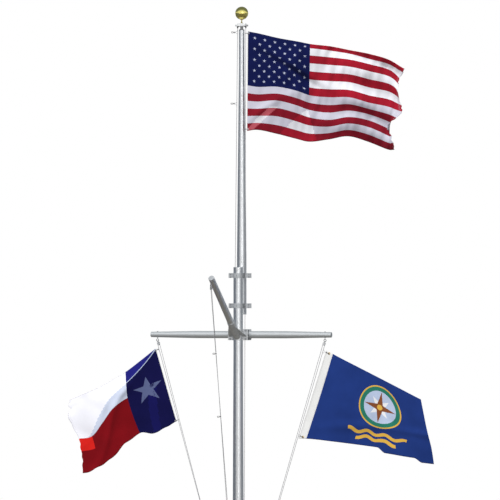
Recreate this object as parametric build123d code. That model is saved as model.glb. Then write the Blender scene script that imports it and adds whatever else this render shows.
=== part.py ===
"""A double-mast nautical flagpole, in millimetres.

The origin is the centre of the base shoe's underside, on the ground. +Z is up the masts, +X runs
along the yard to starboard, and -Y is the side that the gaff points to. The topmast stands abaft
the lower mast, on its +Y side, and the yard crosses abaft it too.
"""

from build123d import *

import os
from math import atan2, cos, pi, radians, sin

# The two heights that the rest hangs on
YARD_Z = 5831.0
TOPMAST_TOP = 10668.0

# Lower mast: parallel above the taper
BUTT_RADIUS = 101.6
HEAD_RADIUS = 76.2
MAST_WALL = 4.8
TAPER_TOP = YARD_Z - 231.0
LOWER_MAST_TOP = YARD_Z + 1064.0

# Topmast
TOPMAST_HEEL = YARD_Z + 329.0
TOPMAST_TAPER_START = LOWER_MAST_TOP + 205.0
TOPMAST_TAPER_END = TOPMAST_TOP - 518.0
TOPMAST_RADIUS = 76.2
TOPMAST_TIP_RADIUS = 44.45
MAST_GAP = 10.6
TOPMAST_Y = HEAD_RADIUS + MAST_GAP + TOPMAST_RADIUS

# Caps that close the tubes
CAP_THICKNESS = 8.0
CAP_SPIGOT = 30.0
FIT = 0.3

# Base shoe
SHOE_SIDE = 330.0
SHOE_PLATE = 32.0
SHOE_CORNER = 40.0
SHOE_FLOOR = 16.0
SHOE_HEIGHT = 216.0
SHOE_WALL = 16.0
ANCHOR_PCD = 330.0
ANCHOR_HOLE_RADIUS = 14.0

# The two clamps that hold the masts together at the doubling
CLAMP_HEIGHTS = {"lower": TOPMAST_HEEL + 130.0, "upper": LOWER_MAST_TOP - 125.0}
CLAMP_DEPTH = 76.0
STRAP_WALL = 9.5
EAR_REACH = 187.0
EAR_THICKNESS = 12.0
EAR_START = 42.0
WEB_THICKNESS = 8.0
SADDLE_HALF = 36.0

# Yard, one tapered tube abaft the lower mast
YARD_LENGTH = 3048.0
YARD_RADIUS = 57.15
YARD_END_RADIUS = 43.0
YARD_PARALLEL_HALF = 760.0
YARD_WALL = 3.2
YARD_MAST_GAP = 2.65
YARD_Y = HEAD_RADIUS + YARD_MAST_GAP + YARD_RADIUS
YARD_EYE_FROM_END = 109.0

# Yard and gaff fitting
FITTING_HEIGHT = 175.0
FITTING_WALL = 11.5
FLANGE_REACH = 167.0
FLANGE_THICKNESS = 14.0
FLANGE_Y = -2.0
REAR_STRAP_WALL = 9.5
REAR_FLANGE_THICKNESS = 12.0

# Gaff, which rises from the front of the fitting
GAFF_ANGLE = 38.0
GAFF_FOOT_Z = YARD_Z - 68.0
GAFF_SEAT = 180.0
GAFF_LENGTH = 1400.0
GAFF_RADIUS = 55.0
GAFF_TIP_RADIUS = 47.0
GAFF_WALL = 3.2
SOCKET_WALL = 5.5
SOCKET_END = 442.0
GAFF_EYE_FROM_TIP = 55.0
GUSSET_THICKNESS = 8.0
GUSSET_ROOT = (148.0, -49.0, 60.0)
GUSSET_TOP = (28.0, -374.0, 239.0)

# Eyebolts, blocks and sheaves
EYE_WIRE = 5.0
EYE_RADIUS = 19.0
EYE_DROP = 44.0
NUT_RADIUS = 11.0
NUT_HEIGHT = 8.0
COLLAR_HEIGHT = 4.0
SEAT_PLAY = 0.4
BECKET_WIRE = 4.0
BECKET_RADIUS = 12.0
CHEEK_THICKNESS = 4.0
CHEEK_GAP = 17.0
CHEEK_HALF_WIDTH = 20.0
CHEEK_DOWN = 24.0
CROWN_LOW = 24.0
CROWN_HIGH = 33.0
BECKET_HEIGHT = 40.0
SHEAVE_WIDTH = 15.0
SHEAVE_PITCH = 16.0
SHEAVE_FLANGE = 3.0
PIN_RADIUS = 4.0
PIN_PLAY = 0.05

# Truck and finial
TRUCK_AZIMUTH = -27.0
TRUCK_RADIUS = 104.0
TRUCK_BOTTOM = TOPMAST_TOP + 48.0
TRUCK_HEIGHT = 63.0
TRUCK_UNDERSIDE = 12.0
TRUCK_RIM_TOP = 40.0
TRUCK_HUB_RADIUS = 26.0
TRUCK_LIP = 3.0
TRUCK_ROUND = 6.0
HOUSING_WIDTH = 46.0
HOUSING_TOP = 60.0
SPINE_TOP = 55.0
TRUCK_RUN = 95.0
TRUCK_PITCH = 20.0
TRUCK_SHEAVE_Z = 24.0
TRUCK_SLOT_START = 48.0
TRUCK_SLOT_WIDTH = 17.0
TUNNEL = 14.0
SPINDLE_HUB = 24.0
SPINDLE_RADIUS = 9.5
SPINDLE_TOP = TRUCK_BOTTOM + 27.0
SPINDLE_PLAY = 0.06
THRUST_GAP = 1.0
FINIAL_ROD_RADIUS = 8.0
BALL_RADIUS = 104.0
BALL_Z = TRUCK_BOTTOM + 222.0
BALL_FLAT = 2.0

# Halyards
ROPE_RADIUS = 4.75
GROOVE_PLAY = 0.3
GROOVE_SIDE = 0.9
CLEAT_HEIGHTS = {"yard": 1250.0, "masthead": 1600.0}
CLEAT_HALF = 115.0
CLEAT_STAND = 34.0
CLEAT_RADIUS = 9.0
CLEAT_POST_HALF = 32.0
CLEAT_PAD_RADIUS = 16.0
CLEAT_PAD = 6.0
HITCH_TURNS = 2
HITCH_OFF_MAST = 7.0
HITCH_DEPTH = 17.0
ROPE_OFF_MAST = 15.0
FALL_OFFSET = 14.5
FALL_GUIDE = 60.0
FALL_BEND = 600.0
MASTHEAD_SPLIT_Z = TRUCK_BOTTOM - 2016.0
AFTER_RUN_X = -138.0

# Flags and the snaps that hold them, whose places are worked out square to this azimuth
VIEW_AZIMUTH = 20.0
SNAP_RADIUS = 3.0
SNAP_EYE_RADIUS = 4.5
SNAP_SHARES = (0.02, 0.98)
IDLE_SNAP_RADIUS = 5.0
IDLE_EYE_RADIUS = 8.0
MASTHEAD_IDLE_SNAPS = {TRUCK_BOTTOM - 83.0: 92.0, TRUCK_BOTTOM - 1215.0: 88.0}
GAFF_IDLE_SNAPS = {YARD_Z - 292.0: 42.0, YARD_Z - 1290.0: 48.0}
CLOTH = 4.0
FLAG_COLUMNS = 13
FLAG_ROWS = 5


def save(node, solid):
    export_step(solid, f"parts/{node}.step")


def mast_radius(z):
    """The lower mast's outer radius at a height."""
    if z >= TAPER_TOP:
        return HEAD_RADIUS
    return BUTT_RADIUS + (HEAD_RADIUS - BUTT_RADIUS) * z / TAPER_TOP


def turned(stations):
    """A solid of revolution about Z from (radius, height) stations, closed along the axis."""
    low, high = stations[0][1], stations[-1][1]
    return revolve(make_face(Plane.XZ * Polyline((0, low), *stations, (0, high), close=True)), Axis.Z)


def tube(stations, wall):
    """A round tube about Z whose outer radius follows the stations."""
    inner = [(r - wall, z) for r, z in reversed(stations)]
    return revolve(make_face(Plane.XZ * Polyline(*stations, *inner, close=True)), Axis.Z)


def plug(radius, wall, outward=1):
    """A cap for a tube's end: a flange as wide as the tube, and a spigot inside it."""
    flange = Cylinder(radius, CAP_THICKNESS, align=(Align.CENTER, Align.CENTER, Align.MIN))
    flange = fillet(flange.edges().sort_by(Axis.Z)[-1], 0.6 * CAP_THICKNESS)
    spigot = Cylinder(
        radius - wall - FIT, CAP_SPIGOT, align=(Align.CENTER, Align.CENTER, Align.MAX)
    )
    return flange + spigot


def along(origin, direction, x_dir):
    """A plane at a point whose Z is a direction and whose X is given."""
    return Plane(origin=origin, x_dir=x_dir, z_dir=direction)


def make_base_shoe():
    plate = Box(SHOE_SIDE, SHOE_SIDE, SHOE_PLATE, align=(Align.CENTER, Align.CENTER, Align.MIN))
    plate = fillet(plate.edges().filter_by(Axis.Z), SHOE_CORNER)
    outer = mast_radius(SHOE_FLOOR) + FIT + SHOE_WALL
    socket = turned([(outer + 10, 0), (outer + 10, SHOE_PLATE), (outer, 80), (outer - 4, SHOE_HEIGHT)])
    bore = turned(
        [
            (mast_radius(SHOE_FLOOR) + FIT, SHOE_FLOOR),
            (mast_radius(SHOE_HEIGHT + 10) + FIT, SHOE_HEIGHT + 10),
        ]
    )
    holes = PolarLocations(ANCHOR_PCD / 2, 4, start_angle=45) * Cylinder(
        ANCHOR_HOLE_RADIUS, 3 * SHOE_PLATE
    )
    save("base_shoe", plate + socket - bore - holes)


def make_masts():
    stations = [
        (mast_radius(SHOE_FLOOR), SHOE_FLOOR),
        (HEAD_RADIUS, TAPER_TOP),
        (HEAD_RADIUS, LOWER_MAST_TOP),
    ]
    save("lower_mast", tube(stations, MAST_WALL))
    save("lower_mast_cap", Pos(0, 0, LOWER_MAST_TOP) * plug(HEAD_RADIUS, MAST_WALL))
    stations = [
        (TOPMAST_RADIUS, TOPMAST_HEEL),
        (TOPMAST_RADIUS, TOPMAST_TAPER_START),
        (TOPMAST_TIP_RADIUS, TOPMAST_TAPER_END),
        (TOPMAST_TIP_RADIUS, TOPMAST_TOP),
    ]
    save("topmast", Pos(0, TOPMAST_Y, 0) * tube(stations, MAST_WALL))
    heel = Pos(0, TOPMAST_Y, TOPMAST_HEEL) * Rot(180, 0, 0) * plug(TOPMAST_RADIUS, MAST_WALL)
    save("topmast_heel_cap", heel)


def make_clamp(name, z):
    """One three-piece clamp: a strap round each mast, and a saddle between the two."""
    middle = TOPMAST_Y / 2
    web_face = middle + WEB_THICKNESS / 2
    ear_back = web_face + EAR_THICKNESS
    front_mast = Cylinder(HEAD_RADIUS + FIT, 2 * CLAMP_DEPTH)
    rear_mast = Pos(0, TOPMAST_Y, 0) * Cylinder(TOPMAST_RADIUS + FIT, 2 * CLAMP_DEPTH)
    ring = Pos(0, TOPMAST_Y, 0) * Cylinder(TOPMAST_RADIUS + FIT + STRAP_WALL, CLAMP_DEPTH)
    side = 3 * EAR_REACH
    ring = ring & Pos(0, ear_back + side / 2, 0) * Box(side, side, 2 * CLAMP_DEPTH)
    strap = ring
    for turn in (1, -1):
        width = EAR_REACH - EAR_START
        ear = Box(width, EAR_THICKNESS, CLAMP_DEPTH)
        ear = Pos(turn * (EAR_START + width / 2), web_face + EAR_THICKNESS / 2, 0) * ear
        strap = strap + ear
    strap = strap - rear_mast
    save(f"{name}_clamp_rear", Pos(0, 0, z) * strap)
    front = Pos(0, TOPMAST_Y, 0) * Rot(0, 0, 180) * strap
    save(f"{name}_clamp_front", Pos(0, 0, z) * front)
    web = Pos(0, middle, 0) * Box(2 * EAR_REACH, WEB_THICKNESS, CLAMP_DEPTH)
    block = Pos(0, middle, 0) * Box(2 * SADDLE_HALF, TOPMAST_Y - HEAD_RADIUS, CLAMP_DEPTH)
    saddle = web + block - front_mast - rear_mast
    save(f"{name}_clamp_saddle", Pos(0, 0, z) * saddle)


def make_yard():
    half = YARD_LENGTH / 2 - CAP_THICKNESS
    stations = [
        (YARD_END_RADIUS, -half),
        (YARD_RADIUS, -YARD_PARALLEL_HALF),
        (YARD_RADIUS, YARD_PARALLEL_HALF),
        (YARD_END_RADIUS, half),
    ]
    yard = Pos(0, YARD_Y, YARD_Z) * Rot(0, 90, 0) * tube(stations, YARD_WALL)
    for side in (-1, 1):
        yard = yard - Pos(side * yard_eye_x(), YARD_Y, YARD_Z) * Cylinder(EYE_WIRE + FIT, 4 * YARD_RADIUS)
    save("yard", yard)
    for name, side in (("port", -1), ("starboard", 1)):
        cap = Rot(0, side * 90, 0) * plug(YARD_END_RADIUS, YARD_WALL)
        save(f"{name}_yard_cap", Pos(side * half, YARD_Y, YARD_Z) * cap)


def yard_eye_x():
    return YARD_LENGTH / 2 - YARD_EYE_FROM_END


def yard_radius(x):
    """The yard's outer radius at a distance from its middle."""
    outer = YARD_LENGTH / 2 - CAP_THICKNESS - YARD_PARALLEL_HALF
    share = max(0.0, abs(x) - YARD_PARALLEL_HALF) / outer
    return YARD_RADIUS + (YARD_END_RADIUS - YARD_RADIUS) * share


def gaff_point(distance, below=0.0, x=0.0):
    """A point by its distance along the gaff from the mast's axis, and how far below the gaff."""
    a = radians(GAFF_ANGLE)
    return Vector(
        x,
        -distance * cos(a) - below * sin(a),
        GAFF_FOOT_Z + distance * sin(a) - below * cos(a),
    )


def gaff_plane(distance):
    a = radians(GAFF_ANGLE)
    return along(gaff_point(distance), (0, -cos(a), sin(a)), (1, 0, 0))


def make_yard_fitting():
    """The casting in front, with the gaff's socket, the strap abaft the yard, and the saddle."""
    side = 4 * FLANGE_REACH
    ahead = Pos(0, FLANGE_Y - side / 2, 0) * Box(side, side, side)
    mast = Pos(0, 0, YARD_Z) * Cylinder(HEAD_RADIUS + FIT, 3 * side)
    front = Cylinder(HEAD_RADIUS + FIT + FITTING_WALL, FITTING_HEIGHT) & ahead
    flange = Box(2 * FLANGE_REACH, FLANGE_THICKNESS, FITTING_HEIGHT)
    front = front + Pos(0, FLANGE_Y - FLANGE_THICKNESS / 2, 0) * flange
    front = Pos(0, 0, YARD_Z) * front
    outer = GAFF_RADIUS + FIT + SOCKET_WALL
    socket = gaff_plane(0) * Cylinder(
        outer, SOCKET_END, align=(Align.CENTER, Align.CENTER, Align.MIN)
    )
    keep = Pos(0, FLANGE_Y - side / 2, YARD_Z + side / 2 - FITTING_HEIGHT / 2) * Box(side, side, side)
    front = front + (socket & keep)
    front = front + gusset()
    bore = gaff_plane(GAFF_SEAT) * Cylinder(
        GAFF_RADIUS + FIT, SOCKET_END, align=(Align.CENTER, Align.CENTER, Align.MIN)
    )
    save("yard_fitting_front", front - mast - bore)

    yard_bar = Rot(0, 90, 0) * Cylinder(YARD_RADIUS + FIT, side)
    strap = Rot(0, 90, 0) * Cylinder(YARD_RADIUS + FIT + REAR_STRAP_WALL, 2 * FLANGE_REACH)
    strap = strap & Pos(0, side / 2, 0) * Box(side, side, side)
    flange = Box(2 * FLANGE_REACH, REAR_FLANGE_THICKNESS, FITTING_HEIGHT)
    strap = strap + Pos(0, REAR_FLANGE_THICKNESS / 2, 0) * flange - yard_bar
    save("yard_fitting_rear", Pos(0, YARD_Y, YARD_Z) * strap)

    seat = Pos(0, YARD_Y / 2, YARD_Z) * Box(1.4 * HEAD_RADIUS, YARD_Y / 2, 1.4 * YARD_RADIUS)
    saddle = seat - mast - Pos(0, YARD_Y, YARD_Z) * yard_bar
    save("yard_fitting_saddle", saddle)


def gusset():
    """A flat plate in the shape of a delta, from the flanges out to the gaff's underside."""
    root_x, root_y, root_z = GUSSET_ROOT
    top_x, top_y, top_z = GUSSET_TOP
    run = Vector(0, top_y - root_y, top_z - root_z)
    base = Vector(0, root_y, GAFF_FOOT_Z + root_z)
    plane = Plane(origin=base, x_dir=(1, 0, 0), z_dir=Vector(1, 0, 0).cross(run))
    in_flange = FLANGE_Y - FLANGE_THICKNESS / 2
    start = (root_y - in_flange) / cos(atan2(run.Z, -run.Y))
    length = run.length
    corners = [(root_x, start), (root_x, 0), (top_x, length)]
    mirrored = [(-x, y) for x, y in reversed(corners)]
    outline = Polyline(*corners, *mirrored, close=True)
    return extrude(plane * make_face(outline), GUSSET_THICKNESS / 2, both=True)


def make_gaff():
    tip = GAFF_LENGTH - CAP_THICKNESS
    gaff = tube([(GAFF_RADIUS, 0), (GAFF_TIP_RADIUS, tip)], GAFF_WALL)
    hole = Pos(0, 0, GAFF_LENGTH - GAFF_EYE_FROM_TIP) * Rot(90, 0, 0) * Cylinder(
        EYE_WIRE + FIT, 4 * GAFF_RADIUS
    )
    save("gaff", gaff_plane(GAFF_SEAT) * (gaff - hole))
    save("gaff_cap", gaff_plane(GAFF_SEAT + tip) * plug(GAFF_TIP_RADIUS, GAFF_WALL))


def eyebolt(radius_at_bolt):
    """An eyebolt about its own Z through a tube's axis at the origin, its ring below in XZ."""
    ring = Torus(EYE_RADIUS, EYE_WIRE)
    ring = Pos(0, 0, -radius_at_bolt - EYE_DROP) * Rot(90, 0, 0) * ring
    top = radius_at_bolt + SEAT_PLAY + NUT_HEIGHT
    bottom = -radius_at_bolt - EYE_DROP + EYE_RADIUS
    shank = Pos(0, 0, bottom) * Cylinder(
        EYE_WIRE, top - bottom, align=(Align.CENTER, Align.CENTER, Align.MIN)
    )
    nut = extrude(RegularPolygon(NUT_RADIUS, 6), NUT_HEIGHT)
    collar = Pos(0, 0, -radius_at_bolt - SEAT_PLAY) * Cylinder(
        NUT_RADIUS, COLLAR_HEIGHT, align=(Align.CENTER, Align.CENTER, Align.MAX)
    )
    return ring + shank + Pos(0, 0, radius_at_bolt + SEAT_PLAY) * nut + collar


def block_frame(eye, cleat, pin_axis):
    """The plane at a hanging block's pin: Z up its rope, Y along its pin."""
    pull = (cleat - eye).normalized()
    link = EYE_RADIUS - EYE_WIRE - BECKET_WIRE - FIT + BECKET_RADIUS
    centre = eye + pull * (link + BECKET_HEIGHT)
    up = pull * -1
    pin = Vector(pin_axis)
    return Plane(origin=centre, x_dir=pin.cross(up), z_dir=up)


def block():
    """A single block: two cheeks, the crown that joins them, the becket and the pin."""
    solid = None
    for side in (-1, 1):
        y = side * (CHEEK_GAP + CHEEK_THICKNESS) / 2
        cheek = SlotOverall(CHEEK_DOWN + CROWN_HIGH, 2 * CHEEK_HALF_WIDTH)
        cheek = extrude(Plane.XZ * Rot(0, 0, 90) * cheek, CHEEK_THICKNESS / 2, both=True)
        cheek = Pos(0, y, (CROWN_HIGH - CHEEK_DOWN) / 2) * cheek
        solid = cheek if solid is None else solid + cheek
    crown = Box(2 * BECKET_RADIUS, CHEEK_GAP + 2 * CHEEK_THICKNESS, CROWN_HIGH - CROWN_LOW)
    becket = Pos(0, 0, BECKET_HEIGHT) * Rot(0, 90, 0) * Torus(BECKET_RADIUS, BECKET_WIRE)
    pin = Rot(90, 0, 0) * Cylinder(PIN_RADIUS, CHEEK_GAP + 3 * CHEEK_THICKNESS)
    return solid + Pos(0, 0, (CROWN_HIGH + CROWN_LOW) / 2) * crown + becket + pin


def sheave(pitch, width, bore):
    """A grooved wheel about Y."""
    rim = pitch + SHEAVE_FLANGE
    wheel = Cylinder(rim, width) - Cylinder(bore, 2 * width)
    mouth = Cylinder(rim + 1, 2 * (ROPE_RADIUS + GROOVE_SIDE)) - Cylinder(pitch, width)
    return Rot(90, 0, 0) * (wheel - Torus(pitch, ROPE_RADIUS + GROOVE_PLAY) - mouth)


def fall_points(frame, angle):
    """The corners of a halyard's way up from its cleat, over its sheave and down again."""
    centre, down = frame.origin, frame.z_dir * -1
    across = frame.x_dir * SHEAVE_PITCH
    foot = cleat_point(angle, CLEAT_HEIGHTS["yard"] + hitch_height(FALL_OFFSET), ROPE_OFF_MAST)
    beside = Vector(-sin(radians(angle)), cos(radians(angle)), 0) * FALL_OFFSET
    return [
        foot - beside,
        centre - across + down * FALL_GUIDE,
        centre - across - down * SHEAVE_PITCH,
        centre + across - down * SHEAVE_PITCH,
        centre + across + down * FALL_GUIDE,
        foot + beside,
    ]


def falls(frame, angle):
    """A halyard over its block's sheave, with both of its falls."""
    turn = SHEAVE_PITCH - 0.01
    return rope(fall_points(frame, angle), [FALL_BEND, turn, turn, FALL_BEND])


def hitch_height(offset):
    """How far above a cleat's middle the turns of rope on it reach, beside its middle line."""
    outer = CLEAT_RADIUS + FIT + HITCH_TURNS * 2 * ROPE_RADIUS
    inner_side = max(0.0, offset - ROPE_RADIUS)
    return CLEAT_POST_HALF + (outer**2 - inner_side**2) ** 0.5 + FIT


def hitch(angle, z):
    """The turns of rope round a cleat's posts, as one ring with rounded ends."""
    inner = CLEAT_RADIUS + FIT
    outer = inner + HITCH_TURNS * 2 * ROPE_RADIUS
    ring = SlotCenterToCenter(2 * CLEAT_POST_HALF, 2 * outer)
    ring = ring - SlotCenterToCenter(2 * CLEAT_POST_HALF, 2 * inner)
    solid = extrude(Plane.YZ * Rot(0, 0, 90) * ring, HITCH_DEPTH)
    solid = fillet(solid.edges().filter_by(GeomType.CIRCLE), 0.45 * ROPE_RADIUS)
    return Pos(0, 0, z) * Rot(0, 0, angle) * Pos(mast_radius(z - hitch_height(0)) + HITCH_OFF_MAST, 0, 0) * solid


def cleat_point(angle, z, off):
    reach = mast_radius(z) + off
    return Vector(reach * cos(radians(angle)), reach * sin(radians(angle)), z)


def cleat(angle, z):
    """A cleat with upright horns, its two posts footed on the mast."""
    horn = Cylinder(CLEAT_RADIUS, 2 * CLEAT_HALF - 2 * CLEAT_RADIUS)
    horn = horn + Pos(0, 0, CLEAT_HALF - CLEAT_RADIUS) * Sphere(CLEAT_RADIUS)
    horn = horn + Pos(0, 0, CLEAT_RADIUS - CLEAT_HALF) * Sphere(CLEAT_RADIUS)
    solid = Pos(CLEAT_STAND, 0, 0) * horn
    align = (Align.CENTER, Align.CENTER, Align.MAX)
    for side in (-1, 1):
        post = Cylinder(CLEAT_RADIUS, CLEAT_STAND + CLEAT_PAD, align=align)
        pad = Cylinder(CLEAT_PAD_RADIUS, 2 * CLEAT_PAD, align=align)
        post = Pos(CLEAT_STAND, 0, 0) * Rot(0, 90, 0) * post
        pad = Pos(CLEAT_PAD, 0, 0) * Rot(0, 90, 0) * pad
        solid = solid + Pos(0, 0, side * CLEAT_POST_HALF) * (post + pad)
    radius = mast_radius(z - CLEAT_POST_HALF)
    placed = Pos(0, 0, z) * Rot(0, 0, angle) * Pos(radius, 0, 0) * solid
    span = 2 * CLEAT_HALF
    mast = turned([(mast_radius(z - span), z - span), (mast_radius(z + span), z + span)])
    return placed - mast


RIGS = {
    "port": {"eye_axis": (0, 1, 0), "cleat": 180.0, "side": -1},
    "starboard": {"eye_axis": (0, 1, 0), "cleat": 0.0, "side": 1},
    "gaff": {"eye_axis": (1, 0, 0), "cleat": -90.0, "side": 0},
}
MASTHEAD_CLEATS = {"forward": -9.0, "after": 128.0}


def rig_eye(name):
    if name == "gaff":
        distance = GAFF_SEAT + GAFF_LENGTH - GAFF_EYE_FROM_TIP
        return gaff_point(distance, gaff_eye_radius() + EYE_DROP)
    x = RIGS[name]["side"] * yard_eye_x()
    return Vector(x, YARD_Y, YARD_Z - yard_radius(x) - EYE_DROP)


def gaff_eye_radius():
    share = (GAFF_LENGTH - GAFF_EYE_FROM_TIP) / GAFF_LENGTH
    return GAFF_RADIUS + (GAFF_TIP_RADIUS - GAFF_RADIUS) * share


def rig_frame(name):
    foot = cleat_point(RIGS[name]["cleat"], CLEAT_HEIGHTS["yard"], ROPE_OFF_MAST)
    return block_frame(rig_eye(name), foot, RIGS[name]["eye_axis"])


def make_rigs():
    for name, rig in RIGS.items():
        frame = rig_frame(name)
        if name == "gaff":
            a = radians(GAFF_ANGLE)
            distance = GAFF_SEAT + GAFF_LENGTH - GAFF_EYE_FROM_TIP
            plane = along(gaff_point(distance), (0, sin(a), cos(a)), (0, -cos(a), sin(a)))
            save("gaff_eyebolt", plane * eyebolt(gaff_eye_radius()))
        else:
            x = rig["side"] * yard_eye_x()
            save(f"{name}_eyebolt", Pos(x, YARD_Y, YARD_Z) * eyebolt(yard_radius(x)))
        save(f"{name}_block", frame * block())
        save(f"{name}_sheave", frame * sheave(SHEAVE_PITCH, SHEAVE_WIDTH, PIN_RADIUS + PIN_PLAY))
        turns = hitch(rig["cleat"], CLEAT_HEIGHTS["yard"])
        save(f"{name}_halyard", Compound(children=[falls(frame, rig["cleat"]), turns]))
    cleats = [cleat(rig["cleat"], CLEAT_HEIGHTS["yard"]) for rig in RIGS.values()]
    cleats += [cleat(angle, CLEAT_HEIGHTS["masthead"]) for angle in MASTHEAD_CLEATS.values()]
    save("halyard_cleats", Compound(children=cleats))


def truck_frame():
    return Pos(0, TOPMAST_Y, TRUCK_BOTTOM) * Rot(0, 0, TRUCK_AZIMUTH)


def truck_casting():
    """The truck before it is machined: a rim, a bar with a housing at each end, and the hub."""
    low = (Align.CENTER, Align.CENTER, Align.MIN)
    rim = Pos(0, 0, TRUCK_UNDERSIDE) * Cylinder(TRUCK_RADIUS, TRUCK_RIM_TOP - TRUCK_UNDERSIDE, align=low)
    rim = fillet(rim.edges().filter_by(GeomType.CIRCLE), TRUCK_ROUND)
    bar = extrude(SlotOverall(2 * (TRUCK_RADIUS - TRUCK_LIP), HOUSING_WIDTH), HOUSING_TOP - TRUCK_UNDERSIDE)
    bar = Pos(0, 0, TRUCK_UNDERSIDE) * fillet(bar.edges().group_by(Axis.Z)[-1], TRUCK_ROUND)
    bar = bar - Pos(0, 0, SPINE_TOP) * Box(2 * TRUCK_SLOT_START, 2 * HOUSING_WIDTH, TRUCK_HEIGHT, align=low)
    hub = Cylinder(TRUCK_HUB_RADIUS, TRUCK_HEIGHT, align=low)
    hub = fillet(hub.edges().sort_by(Axis.Z)[-1], TRUCK_ROUND)
    return rim + bar + hub


def make_truck():
    hub_top = TRUCK_BOTTOM - THRUST_GAP
    spindle = turned(
        [
            (TOPMAST_TIP_RADIUS - MAST_WALL - FIT, TOPMAST_TOP - 2 * CAP_SPIGOT),
            (TOPMAST_TIP_RADIUS - MAST_WALL - FIT, TOPMAST_TOP),
            (TOPMAST_TIP_RADIUS, TOPMAST_TOP),
            (TOPMAST_TIP_RADIUS, TOPMAST_TOP + CAP_THICKNESS),
            (SPINDLE_HUB, TOPMAST_TOP + 2 * CAP_THICKNESS),
            (SPINDLE_HUB, hub_top),
            (SPINDLE_RADIUS, hub_top),
            (SPINDLE_RADIUS, SPINDLE_TOP),
        ]
    )
    save("truck_spindle", Pos(0, TOPMAST_Y, 0) * spindle)

    body = truck_casting()
    bore_depth = SPINDLE_TOP - TRUCK_BOTTOM + THRUST_GAP
    body = body - Cylinder(
        SPINDLE_RADIUS + SPINDLE_PLAY, bore_depth, align=(Align.CENTER, Align.CENTER, Align.MIN)
    )
    centre = TRUCK_RUN - TRUCK_PITCH
    rope_z = TRUCK_SHEAVE_Z + TRUCK_PITCH
    body = body - Pos(0, 0, rope_z) * Box(2 * centre, TUNNEL, TUNNEL)
    for side in (-1, 1):
        width = TRUCK_RADIUS - TRUCK_SLOT_START + 10
        slot = Box(width, TRUCK_SLOT_WIDTH, 2 * TRUCK_HEIGHT)
        body = body - Pos(side * (TRUCK_SLOT_START + width / 2), 0, 0) * slot
    for side in (-1, 1):
        pin = Rot(90, 0, 0) * Cylinder(PIN_RADIUS, TRUCK_SLOT_WIDTH + 10)
        body = body + Pos(side * centre, 0, TRUCK_SHEAVE_Z) * pin
    save("truck_body", truck_frame() * body)
    for name, side in (("port", -1), ("starboard", 1)):
        wheel = sheave(TRUCK_PITCH, SHEAVE_WIDTH, PIN_RADIUS + PIN_PLAY)
        save(f"truck_{name}_sheave", truck_frame() * Pos(side * centre, 0, TRUCK_SHEAVE_Z) * wheel)

    ball_bottom = BALL_Z - BALL_RADIUS + BALL_FLAT
    rod_foot = TRUCK_BOTTOM + TRUCK_HEIGHT
    rod = Pos(0, TOPMAST_Y, rod_foot) * Cylinder(
        FINIAL_ROD_RADIUS, ball_bottom - rod_foot, align=(Align.CENTER, Align.CENTER, Align.MIN)
    )
    save("finial_rod", rod)
    box = 3 * BALL_RADIUS
    ball = Sphere(BALL_RADIUS) & Pos(0, 0, box / 2 - BALL_RADIUS + BALL_FLAT) * Box(box, box, box)
    save("finial_ball", Pos(0, TOPMAST_Y, BALL_Z) * ball)


def masthead_runs():
    """Where each run of the masthead halyard leaves the truck, passes the yard and is made fast."""
    azimuth = radians(TRUCK_AZIMUTH)
    arm = Vector(TRUCK_RUN * cos(azimuth), TRUCK_RUN * sin(azimuth), 0)
    top = Vector(0, TOPMAST_Y, TRUCK_BOTTOM + TRUCK_SHEAVE_Z)
    foot_z = CLEAT_HEIGHTS["masthead"] + hitch_height(0)
    forward = [top + arm, cleat_point(MASTHEAD_CLEATS["forward"], foot_z, ROPE_OFF_MAST)]
    abaft = YARD_Y + YARD_RADIUS + FIT + REAR_STRAP_WALL + ROPE_RADIUS + FIT
    after = [
        top - arm,
        Vector(AFTER_RUN_X, abaft, YARD_Z),
        cleat_point(MASTHEAD_CLEATS["after"], foot_z, ROPE_OFF_MAST),
    ]
    return forward, after


def at_height(a, b, z):
    return a + (b - a) * ((a.Z - z) / (a.Z - b.Z))


def rope(points, radii):
    """A rope through points, with an arc of its own radius at each inner point."""
    path = FilletPolyline(*points, radius=radii) if len(points) > 2 else Line(*points)
    start = points[0]
    section = Plane(origin=start, z_dir=(points[1] - start)) * Circle(ROPE_RADIUS)
    return sweep(section, path=path)


def make_masthead_halyard():
    forward, after = masthead_runs()
    split = [at_height(run[0], run[1], MASTHEAD_SPLIT_Z) for run in (forward, after)]
    lift = Vector(0, 0, TRUCK_PITCH)
    over = [split[0], forward[0] + lift, after[0] + lift, split[1]]
    save("masthead_halyard_upper", rope(over, [TRUCK_PITCH, TRUCK_PITCH]))
    below = Vector(0, 0, -FIT)
    lower = [
        rope([split[0] + below, forward[1]], []),
        rope([split[1] + below, after[1], after[2]], [FALL_BEND]),
    ]
    lower += [hitch(angle, CLEAT_HEIGHTS["masthead"]) for angle in MASTHEAD_CLEATS.values()]
    save("masthead_halyard_lower", Compound(children=lower))


def smooth(values, share):
    """A smooth curve through evenly spaced values, at a share of the way along."""
    place = share * (len(values) - 1)
    i = min(int(place), len(values) - 2)
    t = place - i
    before = values[i - 1] if i else 2 * values[0] - values[1]
    beyond = values[i + 2] if i + 2 < len(values) else 2 * values[-1] - values[-2]
    a, b = values[i], values[i + 1]
    bend = (beyond - before) / 2 + 2 * (a - b) + (b - before) / 2 - (a - before) / 2
    rise, fall = (b - before) / 2, (beyond - a) / 2
    return a + rise * t + (3 * (b - a) - 2 * rise - fall) * t**2 + (2 * (a - b) + rise + fall) * t**3


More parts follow.
